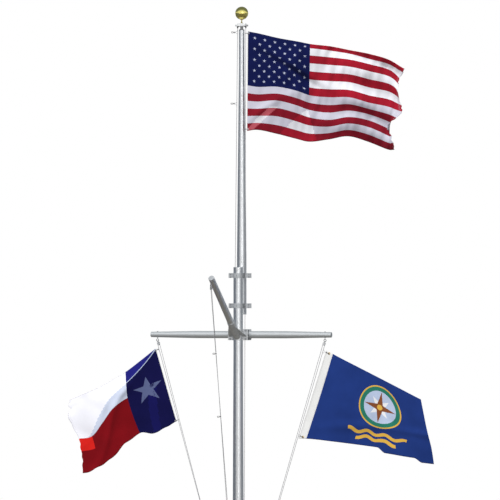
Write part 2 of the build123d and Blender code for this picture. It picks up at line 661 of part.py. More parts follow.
FLAGS = {
    "masthead": {
        "head_z": TRUCK_BOTTOM - 72.0,
        "off_rope": ((29.73, 0.08), (22.07, 0.21)),
        "direction": 20.0,
        "head_out": [0, 415, 830, 1245, 1660, 2080, 2491],
        "head_drop": [0, 79, 159, 206, 251, 398, 586],
        "foot_out": [-12, 355, 750, 1143, 1535, 1930, 2318],
        "foot_drop": [1567, 1587, 1699, 1746, 1675, 1743, 1876],
        "wave": 70.0,
        "waves": 2.3,
        "slant": 0.35,
        "phase": 0.0,
    },
    "port": {
        "head_z": YARD_Z - 227.0,
        "off_rope": ((-66.33, 1.0), (-31.24, -3.3)),
        "direction": 200.0,
        "head_out": [0, 233, 465, 691, 913, 1143, 1365],
        "head_drop": [0, 187, 375, 492, 603, 730, 849],
        "foot_out": [-349, -87, 159, 405, 659, 897, 1138],
        "foot_drop": [1159, 1310, 1322, 1445, 1699, 1905, 1976],
        "wave": 80.0,
        "waves": 1.7,
        "slant": 0.3,
        "phase": 0.5,
    },
    "starboard": {
        "head_z": YARD_Z - 243.0,
        "off_rope": ((69.56, 1.43), (18.41, -3.35)),
        "direction": -9.0,
        "head_out": [0, 281, 559, 839, 1116, 1398, 1677],
        "head_drop": [0, 130, 259, 387, 516, 646, 775],
        "foot_out": [-521, -125, 270, 663, 1062, 1479, 1911],
        "foot_drop": [1397, 1437, 1484, 1524, 1603, 1680, 1788],
        "wave": 60.0,
        "waves": 1.5,
        "slant": 0.2,
        "phase": 0.25,
    },
}


def hoist_corner(name, end):
    """Where a hoist's head (0) or foot (1) lies across the view and in Y, beside its halyard."""
    flag = FLAGS[name]
    top, low = fall_line(name)
    on_rope = at_height(top, low, flag["head_z"] - flag["foot_drop"][0] * end)
    across, abaft = flag["off_rope"][end]
    view = radians(VIEW_AZIMUTH)
    return Vector(on_rope.X * cos(view) + on_rope.Y * sin(view) + across, on_rope.Y + abaft, 0)


def flag_point(name, u, v):
    """A point of a flag's cloth: u runs from hoist to fly, and v from head to foot."""
    flag = FLAGS[name]
    start = flag["head_out"][0] * (1 - v) + flag["foot_out"][0] * v
    out = smooth(flag["head_out"], u) * (1 - v) + smooth(flag["foot_out"], u) * v - start
    drop = smooth(flag["head_drop"], u) * (1 - v) + smooth(flag["foot_drop"], u) * v
    swing = 2 * pi * (flag["waves"] * u + flag["slant"] * v + flag["phase"])
    off = flag["wave"] * u * (1.2 - 0.4 * u) * sin(swing)
    head, foot = hoist_corner(name, 0), hoist_corner(name, 1)
    hoist = head + (foot - head) * v
    turn, view = radians(flag["direction"]), radians(VIEW_AZIMUTH)
    x = (hoist.X - hoist.Y * sin(view)) / cos(view)
    c, s = cos(turn), sin(turn)
    return Vector(x + out * c - off * s, hoist.Y + out * s + off * c, flag["head_z"] - drop)


def make_flags():
    for name, flag in FLAGS.items():
        columns = [i / (FLAG_COLUMNS - 1) for i in range(FLAG_COLUMNS)]
        rows = [j / (FLAG_ROWS - 1) for j in range(FLAG_ROWS)]
        grid = [[flag_point(name, u, v) for v in rows] for u in columns]
        face = Face.make_surface_from_array_of_points(grid, tol=1.0)
        turn = radians(flag["direction"])
        through = Vector(-sin(turn), cos(turn), 0)
        save(f"{name}_flag", extrude(face, CLOTH, dir=through))


def fall_line(name):
    """Two points of the run of halyard that a flag is bent to."""
    if name == "masthead":
        return masthead_runs()[0]
    frame = rig_frame(name)
    points = fall_points(frame, RIGS[name]["cleat"])
    if frame.x_dir.X * RIGS[name]["side"] > 0:
        return points[4], points[5]
    return points[1], points[0]


def snap(name, share):
    """A snap on a halyard: an eye at a flag's hoist, and the shank that joins it to the rope."""
    head, foot = flag_point(name, 0, 0), flag_point(name, 0, 1)
    turn = radians(FLAGS[name]["direction"])
    through = Vector(-sin(turn), cos(turn), 0)
    ahead = (foot - head).normalized().cross(through).normalized()
    if ahead.dot(Vector(cos(turn), sin(turn), 0)) > 0:
        ahead = ahead * -1
    cloth = flag_point(name, 0, share) + through * (CLOTH / 2)
    eye = cloth + ahead * (SNAP_EYE_RADIUS + FIT)
    top, end = fall_line(name)
    run = (end - top).normalized()
    on_rope = top + run * (eye - top).dot(run)
    away = (eye - on_rope).normalized()
    length = (eye - on_rope).length - ROPE_RADIUS - FIT
    return snap_solid(on_rope, away, length, SNAP_RADIUS, SNAP_EYE_RADIUS)


def snap_solid(on_rope, away, length, shank, eye):
    """A round shank that stands off a rope, with a round eye at its end."""
    neck = length - (eye**2 - shank**2) ** 0.5
    sides = Polyline((0, length + eye), (0, 0), (shank, 0), (shank, neck))
    bulb = ThreePointArc((shank, neck), (eye, length), (0, length + eye))
    solid = revolve(make_face(Plane.XZ * (sides + bulb)), Axis.Z)
    return Plane(origin=on_rope + away * (ROPE_RADIUS + FIT), z_dir=away) * solid


def idle_snaps(top, end, lengths):
    """Snaps with no flag bent to them, which stand off their run of rope to the view's left."""
    view = radians(VIEW_AZIMUTH)
    run = (end - top).normalized()
    left = Vector(-cos(view), -sin(view), 0)
    away = (left - run * left.dot(run)).normalized()
    return [
        snap_solid(at_height(top, end, z), away, length, IDLE_SNAP_RADIUS, IDLE_EYE_RADIUS)
        for z, length in lengths.items()
    ]


def make_snaps():
    on_truck = [snap("masthead", share) for share in SNAP_SHARES]
    on_truck += idle_snaps(*masthead_runs()[1][:2], MASTHEAD_IDLE_SNAPS)
    save("masthead_flag_snaps", Compound(children=on_truck))
    others = [snap(name, share) for name in ("port", "starboard") for share in SNAP_SHARES]
    outer_fall = fall_points(rig_frame("gaff"), RIGS["gaff"]["cleat"])[4:]
    others += idle_snaps(*outer_fall, GAFF_IDLE_SNAPS)
    save("halyard_snaps", Compound(children=others))


def main():
    os.makedirs("parts", exist_ok=True)
    make_base_shoe()
    make_masts()
    for name, z in CLAMP_HEIGHTS.items():
        make_clamp(name, z)
    make_yard()
    make_yard_fitting()
    make_gaff()
    make_rigs()
    make_truck()
    make_masthead_halyard()
    make_flags()
    make_snaps()


main()
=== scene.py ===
"""Looks for the nautical flagpole: metal finishes, sewn flags, laid rope, bolts and studio light.

Every length is in metres unless its name ends in _MM or _PX, which is a pixel of the photograph. The
frame is the CAD model's: +Z is up the masts, +X runs along the yard to starboard, and -Y is the side
that the gaff points to.
"""

import bpy
from math import ceil, cos, exp, pi, radians, sin, sqrt, tan
from mathutils import Matrix, Vector, noise


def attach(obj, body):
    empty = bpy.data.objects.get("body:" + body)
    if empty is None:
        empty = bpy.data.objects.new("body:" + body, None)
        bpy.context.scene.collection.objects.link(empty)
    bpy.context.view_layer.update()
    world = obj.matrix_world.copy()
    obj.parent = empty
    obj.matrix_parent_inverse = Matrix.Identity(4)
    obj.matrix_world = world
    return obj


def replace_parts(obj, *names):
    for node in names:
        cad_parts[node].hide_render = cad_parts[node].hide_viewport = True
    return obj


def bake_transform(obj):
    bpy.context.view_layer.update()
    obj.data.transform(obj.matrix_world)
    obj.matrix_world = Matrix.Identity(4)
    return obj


MM = 0.001

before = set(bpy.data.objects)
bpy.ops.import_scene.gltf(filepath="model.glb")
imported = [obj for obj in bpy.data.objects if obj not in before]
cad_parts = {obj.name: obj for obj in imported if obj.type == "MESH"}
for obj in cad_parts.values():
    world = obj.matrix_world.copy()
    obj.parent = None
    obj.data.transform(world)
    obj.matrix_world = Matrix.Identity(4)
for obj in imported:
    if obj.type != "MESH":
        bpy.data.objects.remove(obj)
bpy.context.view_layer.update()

# The photograph: the camera's azimuth and what one of its pixels measures
VIEW_AZIMUTH = 20.0
PIXEL = 15.875 * MM
MAST_COLUMN_PX = 238.2
GROUND_ROW_PX = 702.0
FRAME_PX = 500
CAMERA_DISTANCE = 200.0
SENSOR = 36.0

ACROSS = Vector((cos(radians(VIEW_AZIMUTH)), sin(radians(VIEW_AZIMUTH)), 0))
AWAY = Vector((-sin(radians(VIEW_AZIMUTH)), cos(radians(VIEW_AZIMUTH)), 0))
UP = Vector((0, 0, 1))

# Sizes of the CAD model that the dressing is fitted to
BUTT_RADIUS = 101.6 * MM
HEAD_RADIUS = 76.2 * MM
TAPER_TOP = 5.6
TOPMAST_Y = 0.163
YARD_Y = 0.136
YARD_Z = 5.831
FITTING_EAR_X = 0.13
ROPE_RADIUS = 4.75 * MM
SHEAVE_PITCH = 16 * MM
TRUCK_PITCH = 20 * MM
TRUCK_BOTTOM = 10.716
TRUCK_AZIMUTH = -27.0
CLEAT_POST_HALF = 32 * MM


def at_picture(column_px, row_px, depth=0.0):
    """The point that shows at a place in the photograph, at a depth from the mast."""
    across = (column_px - MAST_COLUMN_PX) * PIXEL
    return ACROSS * across + AWAY * depth + UP * ((GROUND_ROW_PX - row_px) * PIXEL)


# Materials


def node(tree, kind, inputs=None, **settings):
    """A shader node with its settings, and its inputs as numbers or as links."""
    made = tree.nodes.new(kind)
    for key, value in settings.items():
        setattr(made, key, value)
    for key, value in (inputs or {}).items():
        if isinstance(value, bpy.types.NodeSocket):
            tree.links.new(value, made.inputs[key])
        else:
            made.inputs[key].default_value = value
    return made


def maths(tree, operation, *values):
    return node(tree, "ShaderNodeMath", dict(enumerate(values)), operation=operation).outputs[0]


def mix(tree, share, low, high):
    """A colour between two, by a share."""
    inputs = {"Factor": share, 6: low, 7: high}
    return node(tree, "ShaderNodeMix", inputs, data_type="RGBA").outputs[2]


def rgba(colour):
    return (*colour, 1.0)


def surface(name, colour, roughness, metallic=0.0):
    """A material with one Principled shader, and the tree and shader to add to."""
    material = bpy.data.materials.new(name)
    material.use_nodes = True
    material.diffuse_color = rgba(colour)
    shader = material.node_tree.nodes["Principled BSDF"]
    shader.inputs["Base Color"].default_value = rgba(colour)
    shader.inputs["Roughness"].default_value = roughness
    shader.inputs["Metallic"].default_value = metallic
    return material, material.node_tree, shader


def object_noise(tree, scale, detail=2.0, stretch=(1, 1, 1), turn=(0, 0, 0)):
    """Noise in the object's frame, finer along the axes that are stretched."""
    place = node(tree, "ShaderNodeTexCoord").outputs["Object"]
    turned = node(tree, "ShaderNodeMapping", {"Vector": place, "Rotation": turn, "Scale": stretch})
    inputs = {"Vector": turned.outputs["Vector"], "Scale": scale, "Detail": detail}
    return node(tree, "ShaderNodeTexNoise", inputs).outputs["Fac"]


def spread(tree, value, low, high, to_low, to_high):
    inputs = {0: value, 1: low, 2: high, 3: to_low, 4: to_high}
    return node(tree, "ShaderNodeMapRange", inputs).outputs[0]


def bump(tree, shader, height, strength, distance):
    inputs = {"Height": height, "Strength": strength, "Distance": distance}
    tree.links.new(node(tree, "ShaderNodeBump", inputs).outputs["Normal"], shader.inputs["Normal"])


def blotch(tree, shader, value, levels, light, dark):
    """Colours a surface from light to dark as a value rises between two levels."""
    share = spread(tree, value, *levels, 0.0, 1.0)
    tree.links.new(mix(tree, share, rgba(light), rgba(dark)), shader.inputs["Base Color"])


def roughen(tree, shader, value, levels, roughness):
    """Changes the roughness from one number to another as a value rises between two levels."""
    tree.links.new(spread(tree, value, *levels, *roughness), shader.inputs["Roughness"])


def scaled(colour, share):
    return tuple(min(1.0, c * share) for c in colour)


SPUN_ROUGHNESS = (0.34, 0.37)
CAST_ROUGHNESS = (0.38, 0.52)
GOLD_ROUGHNESS = (0.17, 0.26)
STREAKS_TONE = 0.96
STREAKS_STRETCH = (9, 9, 0.7)
CLOTH_ROUGHNESS = 0.82
THREAD_SCALE = 160.0


def spun(name, axis_stretch, turn=(0, 0, 0), light=(0.83, 0.85, 0.875), metallic=1.0):
    """Satin aluminium, brushed round the tube's axis, with faint weather streaks."""
    material, tree, shader = surface(name, light, 0.36, metallic)
    brushing = object_noise(tree, 20.0, 3.0, axis_stretch, turn)
    streaks = object_noise(tree, 3.0, 4.0, STREAKS_STRETCH)
    clouds = object_noise(tree, 2.2, 3.0)
    worn = maths(tree, "MULTIPLY", streaks, clouds)
    blotch(tree, shader, worn, (0.16, 0.36), light, scaled(light, STREAKS_TONE))
    roughen(tree, shader, brushing, (0.3, 0.7), SPUN_ROUGHNESS)
    return material


def make_cast(name, light, dark, metallic):
    """Cast aluminium, ground smooth but still grained."""
    material, tree, shader = surface(name, light, 0.45, metallic)
    grain = object_noise(tree, 260.0, 4.0)
    patches = object_noise(tree, 18.0, 3.0)
    blotch(tree, shader, patches, (0.35, 0.7), light, dark)
    roughen(tree, shader, patches, (0.3, 0.7), CAST_ROUGHNESS)
    bump(tree, shader, grain, 0.2, 0.4 * MM)
    return material


def make_gold():
    material, tree, shader = surface("gold_anodised", (0.88, 0.77, 0.24), 0.2, 1.0)
    roughen(tree, shader, object_noise(tree, 30.0, 4.0), (0.35, 0.7), GOLD_ROUGHNESS)
    return material


def make_plain(name, colour, roughness, metallic=0.0, grain=0.0):
    material, tree, shader = surface(name, colour, roughness, metallic)
    if grain:
        bump(tree, shader, object_noise(tree, 400.0), grain, 0.3 * MM)
    return material


def make_cloth(name, colour, lit=1.08, worn=0.86):
    """Woven nylon: a fine plain weave, and a slow change of tone over the cloth."""
    material, tree, shader = surface(name, colour, CLOTH_ROUGHNESS)
    shader.inputs["Specular IOR Level"].default_value = 0.1
    shader.inputs["Sheen Weight"].default_value = 0.04
    slow = object_noise(tree, 2.3, 3.0)
    blotch(tree, shader, slow, (0.3, 0.7), scaled(colour, lit), scaled(colour, worn))
    place = node(tree, "ShaderNodeUVMap", uv_map="threads").outputs["UV"]
    weave = {"Vector": place, "Scale": THREAD_SCALE}
    threads = node(tree, "ShaderNodeTexWave", weave).outputs["Fac"]
    cross = node(tree, "ShaderNodeTexWave", weave, bands_direction="Y").outputs["Fac"]
    bump(tree, shader, maths(tree, "MULTIPLY", threads, cross), 0.25, 0.3 * MM)
    return material


MAST_BRUSHING = (1, 1, 60)
YARD_BRUSHING = (60, 1, 1)
GAFF_ANGLE = 38.0

MAST = spun("spun_aluminium_masts", MAST_BRUSHING)
YARD = spun("spun_aluminium_yard", YARD_BRUSHING, light=(0.63, 0.66, 0.68), metallic=0.6)
GAFF = spun("spun_aluminium_gaff", MAST_BRUSHING, (radians(GAFF_ANGLE - 90), 0, 0))
CAST = make_cast("cast_aluminium", (0.48, 0.5, 0.52), (0.4, 0.42, 0.44), 0.35)
SOCKET = make_cast("cast_socket", (0.72, 0.735, 0.75), (0.62, 0.635, 0.65), 0.8)
POLISHED = make_cast("polished_casting", (0.8, 0.81, 0.82), (0.7, 0.71, 0.72), 0.25)
GOLD = make_gold()
STEEL = make_plain("stainless_steel", (0.4, 0.41, 0.42), 0.3, 1.0)
SNAP_STEEL = make_plain("snap_steel", (0.08, 0.08, 0.085), 0.4, 0.5)
BOLT_STEEL = make_plain("galvanised_bolts", (0.42, 0.43, 0.45), 0.45, 0.9, 0.2)
SHEAVE = make_plain("sheave_alloy", (0.42, 0.43, 0.44), 0.45, 0.6)
DARK_SHEAVE = make_plain("dark_sheave_alloy", (0.07, 0.07, 0.075), 0.5, 0.3)
NECK = make_plain("dull_spindle", (0.36, 0.36, 0.365), 0.5, 0.5)
DULL_GOLD = make_plain("dull_gold", (0.5, 0.42, 0.13), 0.35, 1.0)
BLOCK_STEEL = make_plain("block_steel", (0.72, 0.73, 0.75), 0.35, 1.0)
KEEPER = make_plain("rope_keepers", (0.05, 0.05, 0.052), 0.6)
NICKEL = make_plain("nickel_grommets", (0.75, 0.75, 0.77), 0.35, 1.0)
WELD = make_plain("weld_bead", (0.52, 0.53, 0.55), 0.55, 0.9, 0.5)
SEAM = make_plain("finial_seam", (0.35, 0.22, 0.04), 0.4, 1.0)
BRASS = make_plain("brass_grommets", (0.72, 0.5, 0.17), 0.3, 1.0)
ROPE = make_plain("halyard_rope", (0.36, 0.36, 0.375), 0.85, 0.0, 0.4)

RED = make_cloth("red_nylon", (0.34, 0.0105, 0.025))
WHITE = make_cloth("white_nylon", (0.8, 0.8, 0.86), 1.03, 0.95)
CANTON_BLUE = make_cloth("canton_blue_nylon", (0.0052, 0.0087, 0.064))
NAVY = make_cloth("navy_nylon", (0.005, 0.005, 0.05))
# The lone-star flag's red, much darker than the US red: painted shade for the shade that flag hangs in.
SHADE_DARKENED_RED = make_cloth("shade_darkened_red_nylon", (0.18, 0.0036, 0.007))
ROYAL_BLUE = make_cloth("royal_blue_nylon", (0.0125, 0.034, 0.17))
DARK_BLUE = make_cloth("dark_blue_thread", (0.009, 0.025, 0.14))
CANVAS = make_cloth("header_canvas", (0.72, 0.72, 0.71), 1.03, 0.93)
STAR_WHITE = make_cloth("embroidered_white", (0.46, 0.49, 0.62), 1.03, 0.95)
# The lone-star flag's white star, coloured grey-blue: painted shade.
SHADED_STAR_WHITE = make_cloth("shaded_star_white_nylon", (0.09, 0.11, 0.22), 1.05, 0.9)
# Painted shade: a shaded copy of white, for a band of the lone-star flag's white stripe.
SHADED_WHITE = make_cloth("shaded_white_nylon", (0.54, 0.59, 0.72), 1.05, 0.93)
# Painted shade: shaded copies of white and red, for the US flag's lower stripes.
SHADOWED_WHITE = make_cloth("shadowed_white_nylon", (0.56, 0.55, 0.64), 1.03, 0.95)
SHADED_RED = make_cloth("shaded_red_nylon", (0.225, 0.0085, 0.02), 1.05, 0.9)
# Painted highlight: a lit copy of red, for a bright line along a fold of the US flag.
LIT_FOLD_RED = make_cloth("lit_fold_red_nylon", (0.52, 0.1, 0.13), 1.05, 0.9)
# Painted light: a lit copy of navy, for the lone-star flag's navy above the fold line.
SUNLIT_NAVY = make_cloth("sunlit_navy_nylon", (0.014, 0.014, 0.17), 1.05, 0.9)
# Painted light: a lighter copy of navy, for a lit streak along a fold near the hoist.
LIT_STREAK_NAVY = make_cloth("lit_streak_navy_nylon", (0.0065, 0.0065, 0.076), 1.05, 0.9)
# Painted light: a lit copy of the lone-star red, for a sunlit patch at the fly.
SUNLIT_RED = make_cloth("sunlit_red_nylon", (0.62, 0.016, 0.012), 1.05, 0.9)
GOLD_THREAD = make_cloth("gold_thread", (0.62, 0.37, 0.06))
GREEN_THREAD = make_cloth("green_thread", (0.02, 0.16, 0.11))
# Pale blue thread on the blue flag's roundel; the same colour paints a highlight along the lone-star
# flag's fold.
PALE_THREAD_AND_HIGHLIGHT = make_cloth("pale_blue_thread_and_highlight", (0.4, 0.47, 0.62))
BROWN_THREAD = make_cloth("brown_thread", (0.2, 0.065, 0.025))
WHITE_THREAD = make_cloth("white_thread", (0.7, 0.7, 0.72))
STITCHES = make_plain("stitching", (0.36, 0.34, 0.4), 0.8)

CLAMP_PARTS = [f"{level}_clamp_{part}"
               for level in ("lower", "upper") for part in ("front", "rear", "saddle")]
NODE_MATERIALS = {
    MAST: ["lower_mast", "lower_mast_cap", "topmast", "topmast_heel_cap"],
    YARD: ["yard", "port_yard_cap", "starboard_yard_cap"],
    GAFF: ["gaff"],
    POLISHED: ["truck_body"],
    NECK: ["truck_spindle"],
    SOCKET: ["yard_fitting_front"],
    CAST: ["base_shoe", "yard_fitting_rear", "yard_fitting_saddle", "halyard_cleats", "gaff_cap",
           *CLAMP_PARTS],
    GOLD: ["finial_ball"],
    DULL_GOLD: ["finial_rod"],
    STEEL: ["port_eyebolt", "starboard_eyebolt", "gaff_eyebolt"],
    BLOCK_STEEL: ["port_block", "starboard_block", "gaff_block"],
    SHEAVE: ["port_sheave", "starboard_sheave", "gaff_sheave"],
    DARK_SHEAVE: ["truck_port_sheave", "truck_starboard_sheave"],
}
ROUNDED_NODES = ["base_shoe", "yard_fitting_front", "yard_fitting_rear", "yard_fitting_saddle",
                 "truck_body", *CLAMP_PARTS]
EDGE_WIDTH = 1.4 * MM
EDGE_ANGLE = 50


def dress_nodes():
    for material, names in NODE_MATERIALS.items():
        for name in names:
            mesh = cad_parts[name].data
            mesh.materials.clear()
            mesh.materials.append(material)
    for name in ROUNDED_NODES:
        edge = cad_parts[name].modifiers.new("rounded_edges", "BEVEL")
        edge.width = EDGE_WIDTH
        edge.segments = 2
        edge.limit_method = "ANGLE"
        edge.angle_limit = radians(EDGE_ANGLE)


# Shapes


def placed(origin, z_dir, x_dir=None):
    """The matrix of a frame at a point, from its Z direction and, where it matters, its X."""
    z = Vector(z_dir).normalized()
    x = Vector(x_dir) if x_dir is not None else (UP if abs(z.z) < 0.9 else Vector((1, 0, 0)))
    x = (x - z * x.dot(z)).normalized()
    y = z.cross(x)
    return Matrix.Translation(Vector(origin)) @ Matrix((x, y, z)).transposed().to_4x4()


def linked(name, data):
    """A new object in the scene."""
    made = bpy.data.objects.new(name, data)
    bpy.context.scene.collection.objects.link(made)
    return made


def circle(count):
    """Angles evenly round a full turn."""
    return [2 * pi * i / count for i in range(count)]


def polar(radius, angle, height=0.0):
    return Vector((radius * cos(angle), radius * sin(angle), height))


def in_mm(pairs):
    return [(a * MM, b * MM) for a, b in pairs]


class Shape:
    """A mesh under construction, gathered from simple forms."""

    def __init__(self):
        self.points = []
        self.faces = []

    def rings(self, rings, closed=False, capped=True):
        """Joins rings of points with faces, in order."""
        start, size = len(self.points), len(rings[0])
        for ring in rings:
            self.points += ring
        count = len(rings) if closed else len(rings) - 1
        for i in range(count):
            a, b = start + i * size, start + (i + 1) % len(rings) * size
            for j in range(size):
                k = (j + 1) % size
                self.faces.append((a + j, a + k, b + k, b + j))
        if capped and not closed:
            self.faces.append(tuple(start + j for j in reversed(range(size))))
            last = start + (len(rings) - 1) * size
            self.faces.append(tuple(last + j for j in range(size)))

    def turned(self, stations, place, sides=24, closed=False):
        """A form of revolution from (radius, height) stations about a frame's Z."""
        self.rings([[place @ polar(r, a, h) for a in circle(sides)] for r, h in stations], closed)

    def torus(self, radius, wire, place, sides=32, section=10):
        round_wire = [(radius + wire * cos(t), wire * sin(t)) for t in circle(section)]
        self.turned(round_wire, place, sides, closed=True)

    def tube(self, path, radius, sides=8):
        """A round tube along close points."""
        self.rings([[place @ polar(radius, a) for a in circle(sides)] for place in frames_along(path)])

    def hexagon(self, across, low, high, place):
        """A hexagonal nut or head with chamfered corners, by its width across the flats."""
        corner = across / sqrt(3)
        edge = 0.08 * across
        face = 0.9 * corner
        self.turned([(face, low), (corner, low + edge), (corner, high - edge), (face, high)], place, 6)

    def piece(self, name, material, body="root", slot=None, sharp=35.0):
        """Makes the object, riding on a body."""
        mesh = bpy.data.meshes.new(name)
        mesh.from_pydata([tuple(p) for p in self.points], [], self.faces)
        mesh.materials.append(material)
        mesh.polygons.foreach_set("use_smooth", [True] * len(mesh.polygons))
        mesh.set_sharp_from_angle(angle=radians(sharp))
        mesh.update()
        made = linked(name, mesh)
        if body:
            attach(made, body)
        return made


def frames_along(path):
    """Frames at the points of a path that turn with it and never twist."""
    frames = []
    side = None
    for i, point in enumerate(path):
        ahead = (path[min(i + 1, len(path) - 1)] - path[max(i - 1, 0)]).normalized()
        if side is None:
            side = ahead.orthogonal()
        side = (side - ahead * side.dot(ahead)).normalized()
        frames.append(placed(point, ahead, side))
    return frames


def rounded_path(corners, radii, step=6 * MM):
    """Points along straight runs, with an arc of its own radius at each inner corner."""
    path = [Vector(corners[0])]
    for before, corner, after, radius in zip(corners, corners[1:], corners[2:], radii):
        into, out = (corner - before).normalized(), (after - corner).normalized()
        turn = into.angle(out)
        reach = radius * tan(turn / 2)
        start = corner - into * reach
        inward = (out - into * into.dot(out)).normalized()
        centre = start + inward * radius
        steps = max(2, ceil(radius * turn / step))
        for i in range(steps + 1):
            a = turn * i / steps
            path.append(centre + (into * sin(a) - inward * cos(a)) * radius)
    path.append(Vector(corners[-1]))
    return path


def even_path(path, step):
    """The same path with its points a fixed length apart."""
    lengths = [0.0]
    for a, b in zip(path, path[1:]):
        lengths.append(lengths[-1] + (b - a).length)
    count = max(2, round(lengths[-1] / step))
    even = []
    k = 0
    for i in range(count + 1):
        target = lengths[-1] * i / count
        while k < len(path) - 2 and lengths[k + 1] < target:
            k += 1
        span = max(lengths[k + 1] - lengths[k], 1e-9)
        even.append(path[k].lerp(path[k + 1], (target - lengths[k]) / span))
    return even


def curve(stations, values, x):
    """A smooth curve through values at stations, which need not be evenly spaced."""
    i = 0
    while i < len(stations) - 2 and x > stations[i + 1]:
        i += 1
    slopes = [(b - a) / (t - s) for a, b, s, t in zip(values, values[1:], stations, stations[1:])]
    start = slopes[i] if i == 0 else (slopes[i - 1] + slopes[i]) / 2
    end = slopes[i] if i == len(slopes) - 1 else (slopes[i] + slopes[i + 1]) / 2
    span = stations[i + 1] - stations[i]
    t = (x - stations[i]) / span
    a, b = values[i], values[i + 1]
    rise, fall = start * span, end * span
    return a + rise * t + (3 * (b - a) - 2 * rise - fall) * t**2 + (2 * (a - b) + rise + fall) * t**3


# Ropes

LAY = 40 * MM
STRANDS = 3
STEPS_PER_LAY = 6
STRAND_SIDES = 5


def laid_rope(shape, path):
    """A three-strand rope along a path."""
    strand = ROPE_RADIUS / (1 + 2 / sqrt(3))
    frames = frames_along(even_path(path, LAY / STEPS_PER_LAY))
    for s in range(STRANDS):
        rings = []
        for i, place in enumerate(frames):
            turn = 2 * pi * (i / STEPS_PER_LAY + s / STRANDS)
            centre = polar(ROPE_RADIUS - strand, turn)
            rings.append([place @ (centre + polar(strand, turn + a)) for a in circle(STRAND_SIDES)])
        shape.rings(rings)


def mast_radius(z):
    share = min(1.0, z / TAPER_TOP)
    return BUTT_RADIUS + (HEAD_RADIUS - BUTT_RADIUS) * share


def cleat_frame(angle, z):
    """A frame on the mast's face at a cleat: X off the mast, Y round it and Z up."""
    out = polar(1.0, radians(angle))
    return placed(out * mast_radius(z) + UP * z, UP, out)


CLEATS = {"port": (180.0, 1.25), "starboard": (0.0, 1.25), "gaff": (-90.0, 1.25), "forward": (-9.0, 1.6),
          "after": (128.0, 1.6)}
HITCH_INNER = 14.2 * MM
HITCH_OUTER = 23.6 * MM
HITCH_NEAR = 12 * MM
HITCH_FAR = 21 * MM
FIGURE_EIGHT_MM = [(0, 0, 52), (18, 34, 47), (27, 62, 26), (15, 79, 7), (0, 83, 6), (-15, 79, 7),
                   (-27, 62, 26), (-18, 34, 50), (0, 0, 61), (18, -34, 50), (27, -62, 26), (15, -79, 7),
                   (0, -83, 6), (-15, -79, 7), (-27, -62, 26), (-18, -34, 47), (0, 0, 52)]
COIL_TURNS = 2
COIL_STEPS = 24
LOOP_STEPS = 8


def made_fast(shape, name):
    """The turns of rope round a cleat's posts, and a figure of eight over its horns."""
    place = cleat_frame(*CLEATS[name])
    steps = circle(COIL_STEPS) * COIL_TURNS
    for radius in (HITCH_INNER, HITCH_OUTER):
        coil = []
        for i, a in enumerate(steps):
            z = radius * sin(a) + (CLEAT_POST_HALF if sin(a) >= 0 else -CLEAT_POST_HALF)
            off = HITCH_NEAR + (HITCH_FAR - HITCH_NEAR) * i / len(steps)
            coil.append(place @ Vector((off, radius * cos(a), z)))
        laid_rope(shape, coil)
    stations = list(range(len(FIGURE_EIGHT_MM)))
    loop = []
    for i in range(LOOP_STEPS * stations[-1] + 1):
        y, z, x = (curve(stations, [p[k] for p in FIGURE_EIGHT_MM], i / LOOP_STEPS) for k in range(3))
        loop.append(place @ (Vector((x, y, z)) * MM))
    laid_rope(shape, loop)


# The corners of each halyard's way, as in the CAD model
RIG_ROUTES_MM = {
    "port": [(-110.7, 14.5, 1308.9), (-1396.5, 132.5, 5620.8), (-1417.6, 134.7, 5693.8),
             (-1386.9, 134.7, 5702.7), (-1365.7, 132.5, 5629.7), (-110.7, -14.5, 1308.9)],
    "starboard": [(110.7, -14.5, 1308.9), (1365.7, 132.5, 5629.7), (1386.9, 134.7, 5702.7),
                  (1417.6, 134.7, 5693.8), (1396.5, 132.5, 5620.8), (110.7, 14.5, 1308.9)],
    "gaff": [(-14.5, -110.7, 1308.9), (0.0, -1216.9, 6514.2), (0.0, -1232.8, 6588.6),
             (0.0, -1264.1, 6581.9), (0.0, -1248.2, 6507.6), (14.5, -110.7, 1308.9)],
}
FALL_BEND = 0.6
FORWARD_RUN_MM = [(84.6, 119.9, 10740.0), (107.7, -17.1, 1660.6)]
AFTER_RUN_MM = [(-84.6, 206.1, 10740.0), (-138.0, 208.0, 5831.0), (-67.1, 85.9, 1660.6)]
MASTHEAD_SPLIT_Z = 8.7


def millimetres(points):
    return [Vector(p) * MM for p in points]


def at_height(a, b, z):
    return a.lerp(b, (z - a.z) / (b.z - a.z))


def make_ropes():
    bends = [FALL_BEND, SHEAVE_PITCH, SHEAVE_PITCH, FALL_BEND]
    for name, corners in RIG_ROUTES_MM.items():
        rope = Shape()
        laid_rope(rope, rounded_path(millimetres(corners), bends))
        made_fast(rope, name)
        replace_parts(rope.piece(f"{name}_laid_halyard", ROPE, slot="halyard_rope"), f"{name}_halyard")

    forward, after = millimetres(FORWARD_RUN_MM), millimetres(AFTER_RUN_MM)
    lift = UP * TRUCK_PITCH
    split = [at_height(run[0], run[1], MASTHEAD_SPLIT_Z) for run in (forward, after)]
    upper = Shape()
    corners = [split[0], forward[0] + lift, after[0] + lift, split[1]]
    laid_rope(upper, rounded_path(corners, [TRUCK_PITCH, TRUCK_PITCH]))
    over = upper.piece("masthead_laid_halyard_upper", ROPE, "truck", "halyard_rope")
    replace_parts(over, "masthead_halyard_upper")

    lower = Shape()
    laid_rope(lower, [split[0], forward[1]])
    laid_rope(lower, rounded_path([split[1], after[1], after[2]], [FALL_BEND]))
    made_fast(lower, "forward")
    made_fast(lower, "after")
    under = lower.piece("masthead_laid_halyard_lower", ROPE, None, "halyard_rope")
    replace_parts(under, "masthead_halyard_lower")
    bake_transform(under)


# Flags

CLOTH_HALF = 0.6 * MM


def ridge(distance, width):
    """A fold's height, 1 along its line and falling off to both sides."""
    return exp(-((distance / width) ** 2))


def eased(share):
    """A smooth step from 0 to 1."""
    share = min(1.0, max(0.0, share))
    return share**2 * (3 - 2 * share)


